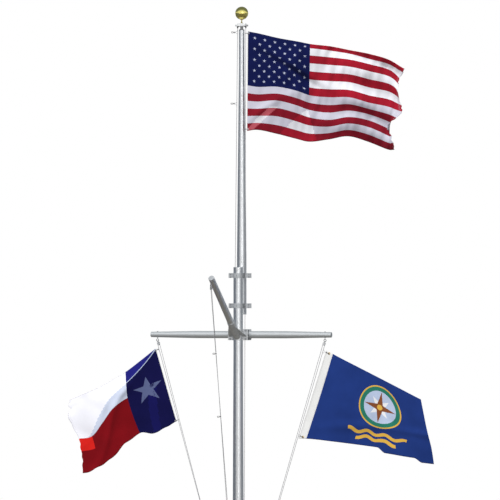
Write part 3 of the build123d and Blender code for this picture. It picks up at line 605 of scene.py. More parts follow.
def waving(u, v, height, along, down, start=0.0):
    """Waves that grow from the hoist to the fly."""
    return height * u * (1.2 - 0.4 * u) * sin(2 * pi * (along * u + down * v + start))


def wobble(x, y, seed):
    return noise.noise(Vector((x, y, seed)))


class Cloth:
    """A flag's cloth as a surface: u runs from hoist to fly, and v from head to foot.

    rows holds, for each v, the places in the photograph of the points at the u stations. Depth away
    from the camera starts at the hoist's own, changes by slope across the picture, and waves. shift
    says how far a point moves in the picture, which frays, tears or curls an edge.
    """

    def __init__(self, name, body, size, header, stations, rows, hoist_depth, slope, depth_at, shift):
        self.name = name
        self.body = body
        self.width, self.height = size
        self.header = header / self.width
        self.stations = stations
        self.rows = rows
        self.hoist_depth = hoist_depth
        self.slope = slope
        self.depth_at = depth_at
        self.shift = shift

    def picture(self, u, v):
        levels = list(self.rows)
        column, line = (
            curve(levels, [curve(self.stations, [p[k] for p in self.rows[l]], u) for l in levels], v)
            for k in (0, 1)
        )
        right, down = self.shift(u, v, column)
        return column + right, line + down

    def point(self, u, v):
        column, line = self.picture(u, v)
        head, foot = (self.rows[l][0][0] for l in (0.0, 1.0))
        hoist = head + (foot - head) * v
        depth = self.hoist_depth[0] + (self.hoist_depth[1] - self.hoist_depth[0]) * v
        depth += self.slope * (column - hoist) * PIXEL + self.depth_at(u, v)
        return at_picture(column, line, depth)

    def lifted(self, u, v, height):
        """A point above the cloth, on the side of a positive or negative height."""
        e = 0.004
        a = self.point(min(u + e, 1), v) - self.point(max(u - e, 0), v)
        b = self.point(u, min(v + e, 1)) - self.point(u, max(v - e, 0))
        return self.point(u, v) + a.cross(b).normalized() * height

    def off(self, centre, x, y):
        """(u, v) at metres along the fly and down the hoist from a point of the cloth."""
        return centre[0] + x / self.width, centre[1] + y / self.height


def cloth_piece(cloth, grid, colour_at, materials):
    """The cloth's own mesh: grid is its u and v lines, and colour_at gives each face a material."""
    us, vs = grid
    rows = len(vs)
    shape = Shape()
    shape.points = [cloth.point(u, v) for u in us for v in vs]
    colours = []
    for i in range(len(us) - 1):
        for j in range(rows - 1):
            a = i * rows + j
            shape.faces.append((a, a + 1, a + rows + 1, a + rows))
            colour = colour_at((us[i] + us[i + 1]) / 2, (vs[j] + vs[j + 1]) / 2)
            colours.append(materials.index(colour))
    name = f"{cloth.name}_cloth"
    made = shape.piece(name, materials[0], cloth.body, name, sharp=180)
    mesh = made.data
    for material in materials[1:]:
        mesh.materials.append(material)
    mesh.polygons.foreach_set("material_index", colours)
    threads = mesh.uv_layers.new(name="threads")
    for loop in mesh.loops:
        u, v = us[loop.vertex_index // rows], vs[loop.vertex_index % rows]
        threads.data[loop.index].uv = (u * cloth.width, v * cloth.height)
    mesh.update()
    thick = made.modifiers.new("thickness", "SOLIDIFY")
    thick.thickness = 2 * CLOTH_HALF
    thick.offset = 0
    return made


def trim_piece(shape, name, cloth, material):
    """A shape that is sewn to a cloth, as a piece of its own."""
    made = shape.piece(f"{cloth.name}_{name}", material, cloth.body, f"{cloth.name}_cloth", sharp=80)
    made.data.uv_layers.new(name="threads")
    return made


def sewn_piece(name, cloth, outlines, material, height=1.1 * MM, rings=1):
    """Shapes sewn to both faces of a cloth. Each outline is a centre and its (u, v) points about it."""
    shape = Shape()
    for side in (-1, 1):
        for centre, outline in outlines:
            start = len(shape.points)
            shape.points.append(cloth.lifted(*centre, side * height))
            for ring in range(1, rings + 1):
                share = ring / rings
                for u, v in outline:
                    at = (centre[0] + (u - centre[0]) * share, centre[1] + (v - centre[1]) * share)
                    shape.points.append(cloth.lifted(*at, side * height))
            size = len(outline)
            pairs = [(j, (j + 1) % size) for j in range(size)]
            faces = [(start, start + 1 + j, start + 1 + k) for j, k in pairs]
            for ring in range(rings - 1):
                a, b = start + 1 + ring * size, start + 1 + (ring + 1) * size
                faces += [(a + j, b + j, b + k, a + k) for j, k in pairs]
            shape.faces += [face if side < 0 else face[::-1] for face in faces]
    return trim_piece(shape, name, cloth, material)


def ribbon_piece(name, cloth, ribbons, material, height=0.9 * MM, across=1):
    """Strips on both faces of a cloth, each from a line of (u, v) points and its width in metres."""
    shape = Shape()
    for line, width in ribbons:
        for side in (-1, 1):
            first = len(shape.points)
            for i, at in enumerate(line):
                back, ahead = line[max(i - 1, 0)], line[min(i + 1, len(line) - 1)]
                run = Vector(((ahead[0] - back[0]) * cloth.width, (ahead[1] - back[1]) * cloth.height))
                run.normalize()
                for k in range(across + 1):
                    off = width * (k / across - 0.5)
                    u, v = (min(max(c, 0), 1) for c in cloth.off(at, -run.y * off, run.x * off))
                    shape.points.append(cloth.lifted(u, v, side * height))
            for i in range(len(line) - 1):
                for k in range(across):
                    a = first + i * (across + 1) + k
                    face = (a, a + 1, a + across + 2, a + across + 1)
                    shape.faces.append(face if side > 0 else face[::-1])
    return trim_piece(shape, name, cloth, material)


SEAM_STEP = 0.03
SEAM_WIDTH = 1.4 * MM
HEM_WIDTH = 4 * MM


def seams(cloth, ends, width=SEAM_WIDTH):
    """Straight ribbons for ribbon_piece, each between two (u, v) ends."""
    made = []
    for (u, v), (u2, v2) in ends:
        length = sqrt(((u2 - u) * cloth.width) ** 2 + ((v2 - v) * cloth.height) ** 2)
        count = max(1, ceil(length / SEAM_STEP))
        made.append((list(zip(evenly(u, u2, count), evenly(v, v2, count))), width))
    return made


def star(cloth, centre, radius, turn=0.0, tips=5, waist=0.382, each=1):
    """A star's outline about a point of the cloth, with each of its edges in a number of parts."""
    corners = []
    for i in range(2 * tips):
        a = turn + pi * i / tips
        r = radius * (1 if i % 2 == 0 else waist)
        corners.append((r * sin(a), -r * cos(a)))
    outline = []
    for (x, y), (x2, y2) in zip(corners, corners[1:] + corners[:1]):
        outline += [cloth.off(centre, x + (x2 - x) * k / each, y + (y2 - y) * k / each)
                    for k in range(each)]
    return centre, outline


def disc(cloth, centre, radius, sides=48):
    return centre, [cloth.off(centre, radius * sin(a), -radius * cos(a)) for a in circle(sides)]


def evenly(low, high, count):
    return [low + (high - low) * i / count for i in range(count + 1)]


GROMMET_SECTION_MM = ((6, 2.2), (11, 1.2), (12, 0), (11, -1.2), (6, -2.2), (5, 0))
GROMMET_IN = 0.018


def grommets(cloth, material=NICKEL, size=1.0):
    """A ring at the head and one at the foot of the header."""
    shape = Shape()
    section = in_mm((radius * size, rise) for radius, rise in GROMMET_SECTION_MM)
    for v in (GROMMET_IN, 1 - GROMMET_IN):
        middle = cloth.point(cloth.header / 2, v)
        through = (cloth.lifted(cloth.header / 2, v, 1.0) - middle).normalized()
        shape.turned(section, placed(middle, through), 24, closed=True)
    return shape.piece(f"{cloth.name}_grommets", material, cloth.body, f"{cloth.name}_cloth")


HEADER = 38 * MM
HEADER_EDGE = 7 * MM

STRIPES = 13
UNION_WIDTH = 0.4
UNION_STRIPES = 7
US_SIZE = (2.5, 1.57)
US_HOIST_PX = (247.6, 246.9)
US_STATIONS_PX = [258.5, 278.5, 298.5, 310.5, 330.5, 350.5, 370.5, 390.5]
US_ROWS_PX = {
    0.0: [31.2, 33.3, 38.0, 41.6, 44.0, 46.2, 50.2, 54.2, 60.4, 68.9],
    1 / 13: [38.9, 41.0, 45.0, 47.6, 48.3, 50.6, 53.9, 59.2, 64.8, 72.5],
    2 / 13: [46.6, 48.6, 51.9, 54.8, 55.5, 57.3, 59.7, 64.4, 70.1, 78.0],
    7 / 13: [85.3, 86.8, 86.7, 91.0, 95.2, 97.2, 97.4, 102.8, 107.1, 111.6],
    10 / 13: [108.4, 108.7, 108.0, 113.1, 117.2, 119.8, 117.0, 120.3, 128.9, 129.5],
    1.0: [131.0, 129.8, 133.7, 138.8, 141.6, 139.4, 136.3, 141.8, 149.6, 149.7],
}
US_FLY_PX = {0.0: 404.0, 1 / 13: 402.6, 2 / 13: 400.4, 7 / 13: 399.5, 10 / 13: 388.0, 1.0: 394.0}
US_UNION_LEAN_PX = -2.0
US_STAR_RADIUS = 28 * MM
US_FRAYED_PX = [0.8, 0.2, -0.6, -1.4, -2.2, -1.0, 0.4, 2.0, 0.6, -1.8, -0.6, 2.2, 1.2, 0.4]
US_FRAYED_FROM = 0.94
US_CREASE = (0.1, 0.69)
US_FOLD = (0.9, -1.1)
# Painted light and shade on the US flag below the union: a painted highlight along a fold, a sunlit patch
# left in the cloth's own colours, and painted shade on the rest.
US_LIT_FOLD = (0.69416, -0.68)
US_LIT_FOLD_TOP = 0.75
US_LIT_FOLD_HALF = 0.027
US_SUNLIT_TOP = 0.7
US_SUNLIT_FROM = (0.7934, -0.58)
US_SUNLIT_TO = (0.2394, 0.22)
US_HEM = (0.978, 0.982, 0.986, 0.99)
# Each stripe's colours: its own, in painted shade, and under the painted highlight on the fold.
US_PAINTED_TONES = ((RED, WHITE), (SHADED_RED, SHADOWED_WHITE), (LIT_FOLD_RED, WHITE))


def us_depth(u, v):
    ease = min(1.0, 3 * u)
    billow = ease * (0.3 * max(0.0, v - 0.35) ** 2 - 0.035)
    bands = 0.048 * max(0.0, u - 0.2) * sin(2 * pi * (v - 0.27 - 0.25 * (u - 0.53)) / 0.31)
    below = v - US_CREASE[0] - US_CREASE[1] * u
    fading = ease * (1 - eased((u - 0.33) / 0.3))
    crease = (0.08 * eased(below / 0.08 + 0.5) - 0.04 - 0.03 * ridge(below + 0.04, 0.1)) * fading
    on_fold = min(1.0, 14 * u) * (1 - min(1.0, u / 0.4) ** 2)
    fold = -0.03 * ridge(v - US_FOLD[0] - US_FOLD[1] * u, 0.055) * on_fold
    wrinkles = 0.022 * ease * wobble(26 * u + 3 * v, 3.5 * v, 7.9)
    ripples = 0.03 * ease * wobble(9 * u + 2 * v, 5 * v, 0.3)
    return waving(u, v, 0.06, 2.3, 0.35) + billow + bands + crease + fold + wrinkles + ripples


def us_frayed(u, v, column):
    ends = curve([i / STRIPES for i in range(STRIPES + 1)], US_FRAYED_PX, v)
    ends += 1.6 * wobble(0.7, 34 * v, 5.2)
    return ends * (max(0.0, u - US_FRAYED_FROM) / (1 - US_FRAYED_FROM)) ** 2, 0.0


def us_cloth():
    head_hoist, foot_hoist = US_HOIST_PX
    reach = US_FLY_PX[0.0] - head_hoist
    stations = [0.0] + [(x - head_hoist) / reach for x in US_STATIONS_PX] + [1.0]
    rows = {}
    for v, lines in US_ROWS_PX.items():
        hoist = head_hoist + (foot_hoist - head_hoist) * v
        columns = [hoist, *(x + US_UNION_LEAN_PX * v for x in US_STATIONS_PX), US_FLY_PX[v]]
        rows[v] = list(zip(columns, lines))
    return Cloth("masthead_flag", "truck", US_SIZE, HEADER, stations, rows,
                 (0.07, 0.05), 0.0, us_depth, us_frayed)


def us_light(u, v):
    """The painted tone of the cloth: 0 its own, 1 painted shade on the lower half, 2 painted highlight on
    the fold.
    """
    if v < UNION_STRIPES / STRIPES:
        return 0
    if abs(u - US_LIT_FOLD[0] - US_LIT_FOLD[1] * v) < US_LIT_FOLD_HALF and v > US_LIT_FOLD_TOP:
        return 2
    start, end = (at + slope * v for at, slope in (US_SUNLIT_FROM, US_SUNLIT_TO))
    return 0 if v > US_SUNLIT_TOP and start < u < end else 1


def make_us_flag():
    cloth = us_cloth()
    header = cloth.header
    edge = HEADER_EDGE / cloth.width
    union, union_height = UNION_WIDTH, UNION_STRIPES / STRIPES

    def colour_at(u, v):
        if u < edge:
            return CANVAS
        stripe = int(v * STRIPES)
        if u < union and stripe < UNION_STRIPES:
            return CANTON_BLUE
        # Below the union each stripe takes painted shade or the painted highlight, except in the sunlit
        # patch.
        return US_PAINTED_TONES[us_light(u, v)][stripe % 2]

    us = [0.0, edge] + evenly(edge, union, 44)[1:] + evenly(union, 1.0, 80)[1:]
    materials = [RED, WHITE, CANTON_BLUE, CANVAS, SHADED_RED, SHADOWED_WHITE, LIT_FOLD_RED]
    flag = cloth_piece(cloth, (us, evenly(0.0, 1.0, 6 * STRIPES)), colour_at, materials)
    stars = []
    for row in range(9):
        for column in range(row % 2, 11, 2):
            centre = (header + (union - header) * (column + 1) / 12, union_height * (row + 1) / 10)
            stars.append(star(cloth, centre, US_STAR_RADIUS))
    stripe_ends = [((union if i < UNION_STRIPES else header, i / STRIPES), (0.985, i / STRIPES))
                   for i in range(1, STRIPES)]
    stripe_ends += [((u, 0.0), (u, 1.0)) for u in US_HEM]
    union_ends = [((union, 0.0), (union, union_height)), ((header, 0.0), (header, union_height)),
                  ((header, 0.006), (union, 0.006))]
    extras = [
        sewn_piece("stars", cloth, stars, STAR_WHITE),
        ribbon_piece("seams", cloth, seams(cloth, stripe_ends), STITCHES),
        ribbon_piece("union_seams", cloth, seams(cloth, union_ends), CANTON_BLUE),
        grommets(cloth),
    ]
    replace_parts(flag, "masthead_flag")
    return cloth


LONE_STAR_SIZE = (1.83, 1.22)
LONE_STAR_BAND = 1 / 3
LONE_STAR_CENTRE = (0.15, 0.475)
LONE_STAR_RADIUS = 0.235
TEAR_PX = 3.6
TEAR_AT = 0.14
TORN_FROM = 0.9
# Light and shade painted on the lone-star flag: sunlit navy above the fold line, a lit streak down the
# navy, a sunlit red patch at the fly, a band of painted shade on the white, and a painted highlight along
# the fold.
FOLD_SLOPE = 0.64
FOLD_HIGHLIGHT_WIDTH = 17 * MM
NAVY_LIT_STREAK_FROM = 0.47
NAVY_LIT_STREAK_MIDDLE = (0.11, 0.12)
NAVY_LIT_STREAK_HALF = 0.035
SUNLIT_FLY = (0.83, 0.71)
SHADE_FROM = 0.22
SHADE_FALL = 0.5
LONE_STAR_STATIONS = [0.0, 1 / 6, 1 / 3, 0.5, 2 / 3, 5 / 6, 1.0]
LONE_STAR_ROWS_PX = {
    0.0: [(155.6, 348.6), (140.6, 360.6), (125.1, 372.4), (109.8, 381.6),
          (95.0, 389.4), (81.0, 395.2), (68.8, 400.7)],
    0.25: [(160.9, 366.9), (142.9, 376.2), (125.9, 385.5), (110.2, 394.8),
           (97.0, 404.0), (82.6, 411.4), (68.0, 417.4)],
    0.5: [(166.2, 385.5), (145.6, 392.0), (127.2, 398.3), (112.6, 408.8),
          (102.6, 422.4), (91.6, 436.6), (77.9, 439.4)],
    0.75: [(171.5, 404.2), (150.6, 412.2), (132.6, 416.0), (117.4, 427.0),
           (106.6, 441.4), (95.4, 451.6), (81.4, 455.0)],
    1.0: [(176.8, 422.6), (158.6, 431.6), (139.7, 434.2), (124.4, 444.6),
          (110.8, 459.0), (97.6, 468.0), (82.9, 473.6)],
}


def lone_star_depth(u, v):
    ease = min(1.0, 2.5 * u)
    fold = -0.03 * ease * ridge(u - 0.1 - 0.75 * v, 0.08)
    lean = 0.06 * ease * eased((v - 0.2) / 0.5) * (1 - 0.6 * u)
    corner = 0.16 * max(0.0, FOLD_SLOPE * u - v) * ease
    hoist_fold = -0.02 * ridge(u - NAVY_LIT_STREAK_MIDDLE[0], 0.03) * eased((v - 0.25) / 0.2)
    ripples = 0.02 * ease * wobble(7 * u, 5 * v + 3 * u, 1.7)
    return waving(u, v, 0.06, 1.7, 0.3, 0.5) + fold + lean + corner + hoist_fold + ripples


def lone_star_torn(u, v, column):
    edge, foot = (max(0.0, x - TORN_FROM) / (1 - TORN_FROM) for x in (u, v))
    right = (TEAR_PX * ridge(v - TEAR_AT, 0.03) + 1.6 * wobble(0.7, 13 * v, 2.2)) * edge**2
    return right, 1.8 * wobble(11 * u, 0.4, 6.1) * foot**2


def lone_star_colour(u, v):
    """The navy band, the white stripe and the red one, each with painted light and shade."""
    if u < LONE_STAR_BAND:
        if v < FOLD_SLOPE * u:
            return SUNLIT_NAVY
        middle = NAVY_LIT_STREAK_MIDDLE[0] + NAVY_LIT_STREAK_MIDDLE[1] * (v - NAVY_LIT_STREAK_FROM)
        return LIT_STREAK_NAVY if abs(u - middle) < NAVY_LIT_STREAK_HALF and v > NAVY_LIT_STREAK_FROM else NAVY
    if v < 0.5:
        return SHADED_WHITE if v > SHADE_FROM + SHADE_FALL * (u - LONE_STAR_BAND) else WHITE
    return SUNLIT_RED if u > SUNLIT_FLY[0] and v < SUNLIT_FLY[1] else SHADE_DARKENED_RED


def make_lone_star_flag():
    cloth = Cloth("port_flag", "root", LONE_STAR_SIZE, HEADER, LONE_STAR_STATIONS, LONE_STAR_ROWS_PX,
                  (0.625, 0.46), 0.0, lone_star_depth, lone_star_torn)
    header, band = cloth.header, LONE_STAR_BAND
    edge = HEADER_EDGE / cloth.width
    us = [0.0, edge] + evenly(edge, band, 32)[1:] + evenly(band, 1.0, 64)[1:]
    materials = [NAVY, WHITE, SHADE_DARKENED_RED, CANVAS, SUNLIT_NAVY, LIT_STREAK_NAVY, SUNLIT_RED, SHADED_WHITE]
    flag = cloth_piece(cloth, (us, evenly(0.0, 1.0, 64)),
                       lambda u, v: CANVAS if u < edge else lone_star_colour(u, v), materials)
    pale = seams(cloth, [((band, 0.5), (0.98, 0.5)), ((0.98, 0.0), (0.98, 0.5))])
    pale += seams(cloth, [((0.995, 0.0), (0.995, 0.5)), ((band, 0.005), (0.985, 0.005))], HEM_WIDTH)
    navy = [((band, 0.0), (band, 1.0)), ((header, 0.0), (header, 1.0)), ((header, 0.99), (band, 0.99))]
    # The pale line along the fold is a painted highlight.
    fold = seams(cloth, [((edge, FOLD_SLOPE * edge), (band, FOLD_SLOPE * band))], FOLD_HIGHLIGHT_WIDTH)
    one = star(cloth, LONE_STAR_CENTRE, LONE_STAR_RADIUS, each=4)
    extras = [
        # The white star takes a grey-blue colour, which is painted shade.
        sewn_piece("star", cloth, [one], SHADED_STAR_WHITE, rings=6),
        ribbon_piece("seams", cloth, pale, STITCHES),
        ribbon_piece("band_seams", cloth, seams(cloth, navy), NAVY),
        # The fold's pale line, a painted highlight.
        ribbon_piece("fold_highlight", cloth, fold, PALE_THREAD_AND_HIGHLIGHT, 1.6 * MM),
        grommets(cloth),
    ]
    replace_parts(flag, "port_flag")
    return cloth


BLUE_SIZE = (2.35, 1.49)
BLUE_STATIONS = [0.0, 0.1, 0.3, 0.5, 0.7, 0.85, 1.0]
BLUE_ROWS_PX = {
    0.0: [(326.2, 349.9), (335.5, 355.2), (354.2, 364.8), (373.0, 374.4),
          (391.7, 384.0), (405.8, 391.3), (419.8, 398.5)],
    0.5: [(312.4, 394.2), (323.2, 396.9), (345.0, 402.8), (367.0, 409.2),
          (389.0, 417.4), (407.2, 425.0), (426.3, 430.8)],
    1.0: [(298.6, 438.2), (309.6, 438.6), (333.6, 441.2), (360.0, 444.4),
          (386.0, 447.9), (408.8, 451.6), (432.7, 454.4)],
}
BLUE_FOOT_STEPS_PX = [(380.4, 4.6), (417.0, 3.8)]
BLUE_STEP_WIDTH_PX = 8.0
BLUE_CURL_FROM = 0.7
BLUE_HEADER = 0.165
BLUE_HEADER_SEAMS = (0.1, 0.9, 0.96)
ROUNDEL_CENTRE = (0.605, 0.405)
ROUNDEL_RADIUS = 0.45
WAVE_LENGTH = 0.34
WAVE_RISE = 0.032
WAVE_BAND = 0.066
WAVE_ROWS = ((1.31, 1.2), (1.58, 0.8))
WAVE_PARTS = 48


def blue_depth(u, v):
    ease = min(1.0, 2.5 * u)
    billow = 0.08 * ease * v**2
    fold = -0.025 * ease * ridge(v - 0.9 + 0.35 * u, 0.07)
    ripples = 0.01 * ease * wobble(8 * u, 6 * v, 4.1)
    return waving(u, v, 0.05, 1.5, 0.2, 0.25) + billow + fold + ripples


def blue_curled(u, v, column):
    near_foot = max(0.0, (v - BLUE_CURL_FROM) / (1 - BLUE_CURL_FROM)) ** 2
    return 0.0, near_foot * sum(drop * eased((column - at) / BLUE_STEP_WIDTH_PX + 0.5)
                                for at, drop in BLUE_FOOT_STEPS_PX)


def make_blue_flag():
    cloth = Cloth("starboard_flag", "root", BLUE_SIZE, BLUE_HEADER, BLUE_STATIONS, BLUE_ROWS_PX,
                  (-0.374, -0.254), -0.554, blue_depth, blue_curled)
    header = cloth.header
    us = [0.0, header / 2, header] + evenly(header, 1.0, 120)[1:]
    flag = cloth_piece(cloth, (us, evenly(0.0, 1.0, 84)),
                       lambda u, v: CANVAS if u < header else ROYAL_BLUE, [ROYAL_BLUE, CANVAS])
    centre, radius = ROUNDEL_CENTRE, ROUNDEL_RADIUS
    emblem = [
        ("roundel_rim", disc(cloth, centre, radius), GOLD_THREAD, 1.8, 16),
        ("roundel_ring", disc(cloth, centre, 0.94 * radius), GREEN_THREAD, 2.2, 16),
        ("roundel_field", disc(cloth, centre, 0.76 * radius), PALE_THREAD_AND_HIGHLIGHT, 2.6, 13),
        ("compass_points", star(cloth, centre, 0.56 * radius, pi / 4, 4, 0.36, 3), WHITE_THREAD, 3.2, 8),
        ("compass", star(cloth, centre, 0.74 * radius, 0.0, 4, 0.26, 4), BROWN_THREAD, 3.7, 9),
        ("compass_boss", disc(cloth, centre, 0.13 * radius, 24), GOLD_THREAD, 4.2, 3),
    ]
    extras = [sewn_piece(name, cloth, [outline], material, height * MM, rings)
              for name, outline, material, height, rings in emblem]
    waves = []
    for down, half in WAVE_ROWS:
        way = evenly(-half * radius, half * radius, WAVE_PARTS)
        line = [cloth.off(centre, x, down * radius + WAVE_RISE * cos(2 * pi * x / WAVE_LENGTH))
                for x in way]
        waves.append((line, WAVE_BAND))
    header_ends = [((header * share, 0.0), (header * share, 1.0)) for share in BLUE_HEADER_SEAMS]
    hem_ends = [((u, 0.0), (u, 1.0)) for u in (0.98, 0.986)]
    hem_ends += [((header, v), (0.985, v)) for v in (0.01, 0.99)]
    extras += [
        ribbon_piece("waves", cloth, waves, GOLD_THREAD, 2.6 * MM, 4),
        ribbon_piece("header_seams", cloth, seams(cloth, header_ends), STITCHES),
        ribbon_piece("hem_seams", cloth, seams(cloth, hem_ends), DARK_BLUE),
        grommets(cloth, BRASS, 1.8),
    ]
    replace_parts(flag, "starboard_flag")
    return cloth


SNAP_LENGTH = 57 * MM
SNAP_WIRE = 3.8 * MM
SNAP_EYE = 8 * MM
BARREL = 9 * MM
BARREL_SECTION_MM = ((3, 0), (4.6, 1), (4.6, 7), (3, 9))
HOOK_HALF = 18 * MM
HOOK_WIDTH = 9.5 * MM
BRIDLE_RISE = 26 * MM
BRIDLE_CORD = 3.0 * MM
BRIDLE_HITCH = 1.6 * MM


def long_ring(shape, place, half_length, half_width, wire, steps=10):
    """A ring of wire with straight sides, long in a frame's X and lying across its Z."""
    straight = half_length - half_width
    path = []
    for side in (1, -1):
        for i in range(steps + 1):
            a = pi * i / steps - pi / 2
            path.append(place @ (Vector((straight + half_width * cos(a), half_width * sin(a), 0)) * side))
    shape.tube(path + path[:2], wire)


def snap_hook(steel, cord, rope_point, rope_run, eye, hook_faces_out):
    """A spring snap on a halyard: a bridle, or an eye round the rope, then a swivel barrel and a hook."""
    run = rope_run.normalized()
    away = (eye - rope_point).normalized()
    out = away.cross(run)
    start = (eye - rope_point).length - SNAP_LENGTH
    swivel = rope_point + away * start
    on_bridle = start > 0
    ring = placed(swivel + away * SNAP_EYE, out if on_bridle else run, away)
    steel.torus(SNAP_EYE, SNAP_WIRE, ring, 20, 8)
    if on_bridle:
        for way in (-1, 1):
            on_rope = rope_point + run * way * BRIDLE_RISE
            cord.tube([on_rope, on_rope.lerp(swivel, 0.5), swivel + away * MM], BRIDLE_CORD, 6)
            cord.torus(ROPE_RADIUS, BRIDLE_HITCH, placed(on_rope, run, away), 14, 6)
    barrel = placed(swivel + away * 2 * SNAP_EYE, away)
    steel.turned(in_mm(BARREL_SECTION_MM), barrel, 12)
    middle = swivel + away * (2 * SNAP_EYE + BARREL + HOOK_HALF - MM)
    hook = placed(middle, out if hook_faces_out else run, away)
    long_ring(steel, hook, HOOK_HALF, HOOK_WIDTH, SNAP_WIRE)


def nearest(a, b, point):
    run = (b - a).normalized()
    return a + run * (point - a).dot(run), run


# Heights of the snaps that no flag is bent to, with how far each stands off its rope
MASTHEAD_IDLE_SNAPS = {10.633: 97 * MM, 9.501: 93 * MM}
GAFF_IDLE_SNAPS = {5.539: 47 * MM, 4.541: 53 * MM}


def make_snaps(us_flag, lone_star, blue):
    forward, after = millimetres(FORWARD_RUN_MM), millimetres(AFTER_RUN_MM)
    port, starboard, gaff = (millimetres(RIG_ROUTES_MM[name]) for name in ("port", "starboard", "gaff"))
    jobs = [
        ("masthead", us_flag, forward, "masthead_flag_snaps", after[:2], MASTHEAD_IDLE_SNAPS),
        ("port", lone_star, (port[1], port[0]), "halyard_snaps", gaff[4:], GAFF_IDLE_SNAPS),
        ("starboard", blue, starboard[4:], "halyard_snaps", None, {}),
    ]
    for name, cloth, run, replaced, idle_run, idle in jobs:
        steel, cord = Shape(), Shape()
        for v in (GROMMET_IN, 1 - GROMMET_IN):
            eye = cloth.point(cloth.header / 2, v)
            on_rope, along = nearest(*run, eye)
            snap_hook(steel, cord, on_rope, along, eye, False)
        for z, off in idle.items():
            on_rope, along = at_height(*idle_run, z), (idle_run[1] - idle_run[0]).normalized()
            away = (along * ACROSS.dot(along) - ACROSS).normalized()
            snap_hook(steel, cord, on_rope, along, on_rope + away * off, True)
        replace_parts(steel.piece(f"{name}_spring_snaps", SNAP_STEEL, cloth.body, "stainless"), replaced)
        if cord.points:
            cord.piece(f"{name}_snap_bridles", ROPE, cloth.body, "halyard_rope")


# Bolts, welds and small fittings

# A bolt's proportions, as shares of its size, and the faces of its washers
HEAD_ACROSS = 1.6
HEAD_HIGH = 0.65
NUT_HIGH = 0.8
SHANK_PAST = 1.1
TIP_PAST = 1.25
TIP_RADIUS = 0.4
WASHER_SHARE = 0.68
WASHER_SUNK = 0.5 * MM
WASHER_HIGH = 1.2 * MM


def bolt(shape, head, direction, length, size):
    """A hexagon bolt with washers, whose head seats at a point and whose shank runs along a direction."""
    place = placed(head, direction)
    across = HEAD_ACROSS * size
    washer = WASHER_SHARE * across
    shape.hexagon(across, -HEAD_HIGH * size, 0, place)
    shank, tip = length + SHANK_PAST * size, length + TIP_PAST * size
    shape.turned([(size / 2, 0), (size / 2, shank), (TIP_RADIUS * size, tip)], place, 16)
    shape.hexagon(across, length, length + NUT_HIGH * size, place)
    shape.turned([(washer, -WASHER_SUNK), (washer, WASHER_HIGH)], place, 24)
    shape.turned([(washer, length - WASHER_HIGH), (washer, length + WASHER_SUNK)], place, 24)


CLAMP_LEVELS = (6.29, 6.77)
CLAMP_BOLT_X = 0.155
CLAMP_BOLT_Z = 0.021
CLAMP_MIDDLE = TOPMAST_Y / 2
CLAMP_EAR_FACE = 16 * MM
STRAP_FACE = HEAD_RADIUS + 9.8 * MM
SET_SCREW_ACROSS = 15 * MM
SET_SCREW_BOSS_MM = ((3.4, 6), (3.4, 7.6))
M12 = 12 * MM
M16 = 16 * MM
FITTING_FRONT = -0.016
FITTING_REAR = YARD_Y + 12 * MM
FITTING_BOLT_Z = 0.068


def four_corners(x, z):
    return [(a, b) for a in (-x, x) for b in (-z, z)]


def make_clamp_bolts():
    shape = Shape()
    for level in CLAMP_LEVELS:
        for x, rise in four_corners(CLAMP_BOLT_X, CLAMP_BOLT_Z):
            head = (x, CLAMP_MIDDLE - CLAMP_EAR_FACE, level + rise)
            bolt(shape, head, (0, 1, 0), 2 * CLAMP_EAR_FACE, M12)
        for y, way in ((-STRAP_FACE, -1), (TOPMAST_Y + STRAP_FACE, 1)):
            place = placed((0, y, level), (0, way, 0))
            shape.hexagon(SET_SCREW_ACROSS, -1 * MM, 7 * MM, place)
            shape.turned(in_mm(SET_SCREW_BOSS_MM), place, 12)
    shape.piece("clamp_bolts", BOLT_STEEL, slot="stainless")


def make_fitting_bolts():
    shape = Shape()
    for x, rise in four_corners(FITTING_EAR_X, FITTING_BOLT_Z):
        bolt(shape, (x, FITTING_FRONT, YARD_Z + rise), (0, 1, 0), FITTING_REAR - FITTING_FRONT, M16)
    shape.piece("yard_fitting_bolts", BOLT_STEEL, slot="stainless")


ANCHOR_RADIUS = 12 * MM
ANCHOR_PCD = 0.33
ANCHOR_NUT = 36 * MM
STUD_MM = ((12, 1), (12, 94), (10.08, 97))
ANCHOR_WASHER_MM = ((22, 31.5), (22, 36))
ANCHOR_NUTS_MM = ((36, 56), (57, 70))
THREADS_MM = (74, 77, 80, 83, 86, 89)


def make_anchor_bolts():
    """A stud, a washer, a nut, a lock nut and six thread turns at each hole of the shoe."""
    shape = Shape()
    for i in range(4):
        place = placed(polar(ANCHOR_PCD / 2, radians(45 + 90 * i)), UP)
        shape.turned(in_mm(STUD_MM), place, 20)
        shape.turned(in_mm(ANCHOR_WASHER_MM), place, 28)
        for low, high in in_mm(ANCHOR_NUTS_MM):
            shape.hexagon(ANCHOR_NUT, low, high, place)
        for height in THREADS_MM:
            shape.torus(ANCHOR_RADIUS, 0.9 * MM, place @ Matrix.Translation((0, 0, height * MM)), 20, 4)
    shape.piece("anchor_studs", BOLT_STEEL, slot="stainless")


SHOE_HEIGHT = 0.216
WELD_BEAD = 5 * MM
WELD_RIPPLES = 90
WELD_SECTION = 8


def make_shoe_weld():
    """A weld bead with its ripples, round the mast at the top of the shoe."""
    radius = mast_radius(SHOE_HEIGHT) + 2 * MM
    rings = []
    for i, a in enumerate(circle(3 * WELD_RIPPLES)):
        wire = WELD_BEAD * (1 + 0.14 * sin(2 * pi * i / 3))
        rings.append([polar(radius + wire * cos(t), a, SHOE_HEIGHT + wire * sin(t))
                      for t in circle(WELD_SECTION)])
    shape = Shape()
    shape.rings(rings, closed=True)
    shape.piece("shoe_weld", WELD, slot="cast_aluminium")


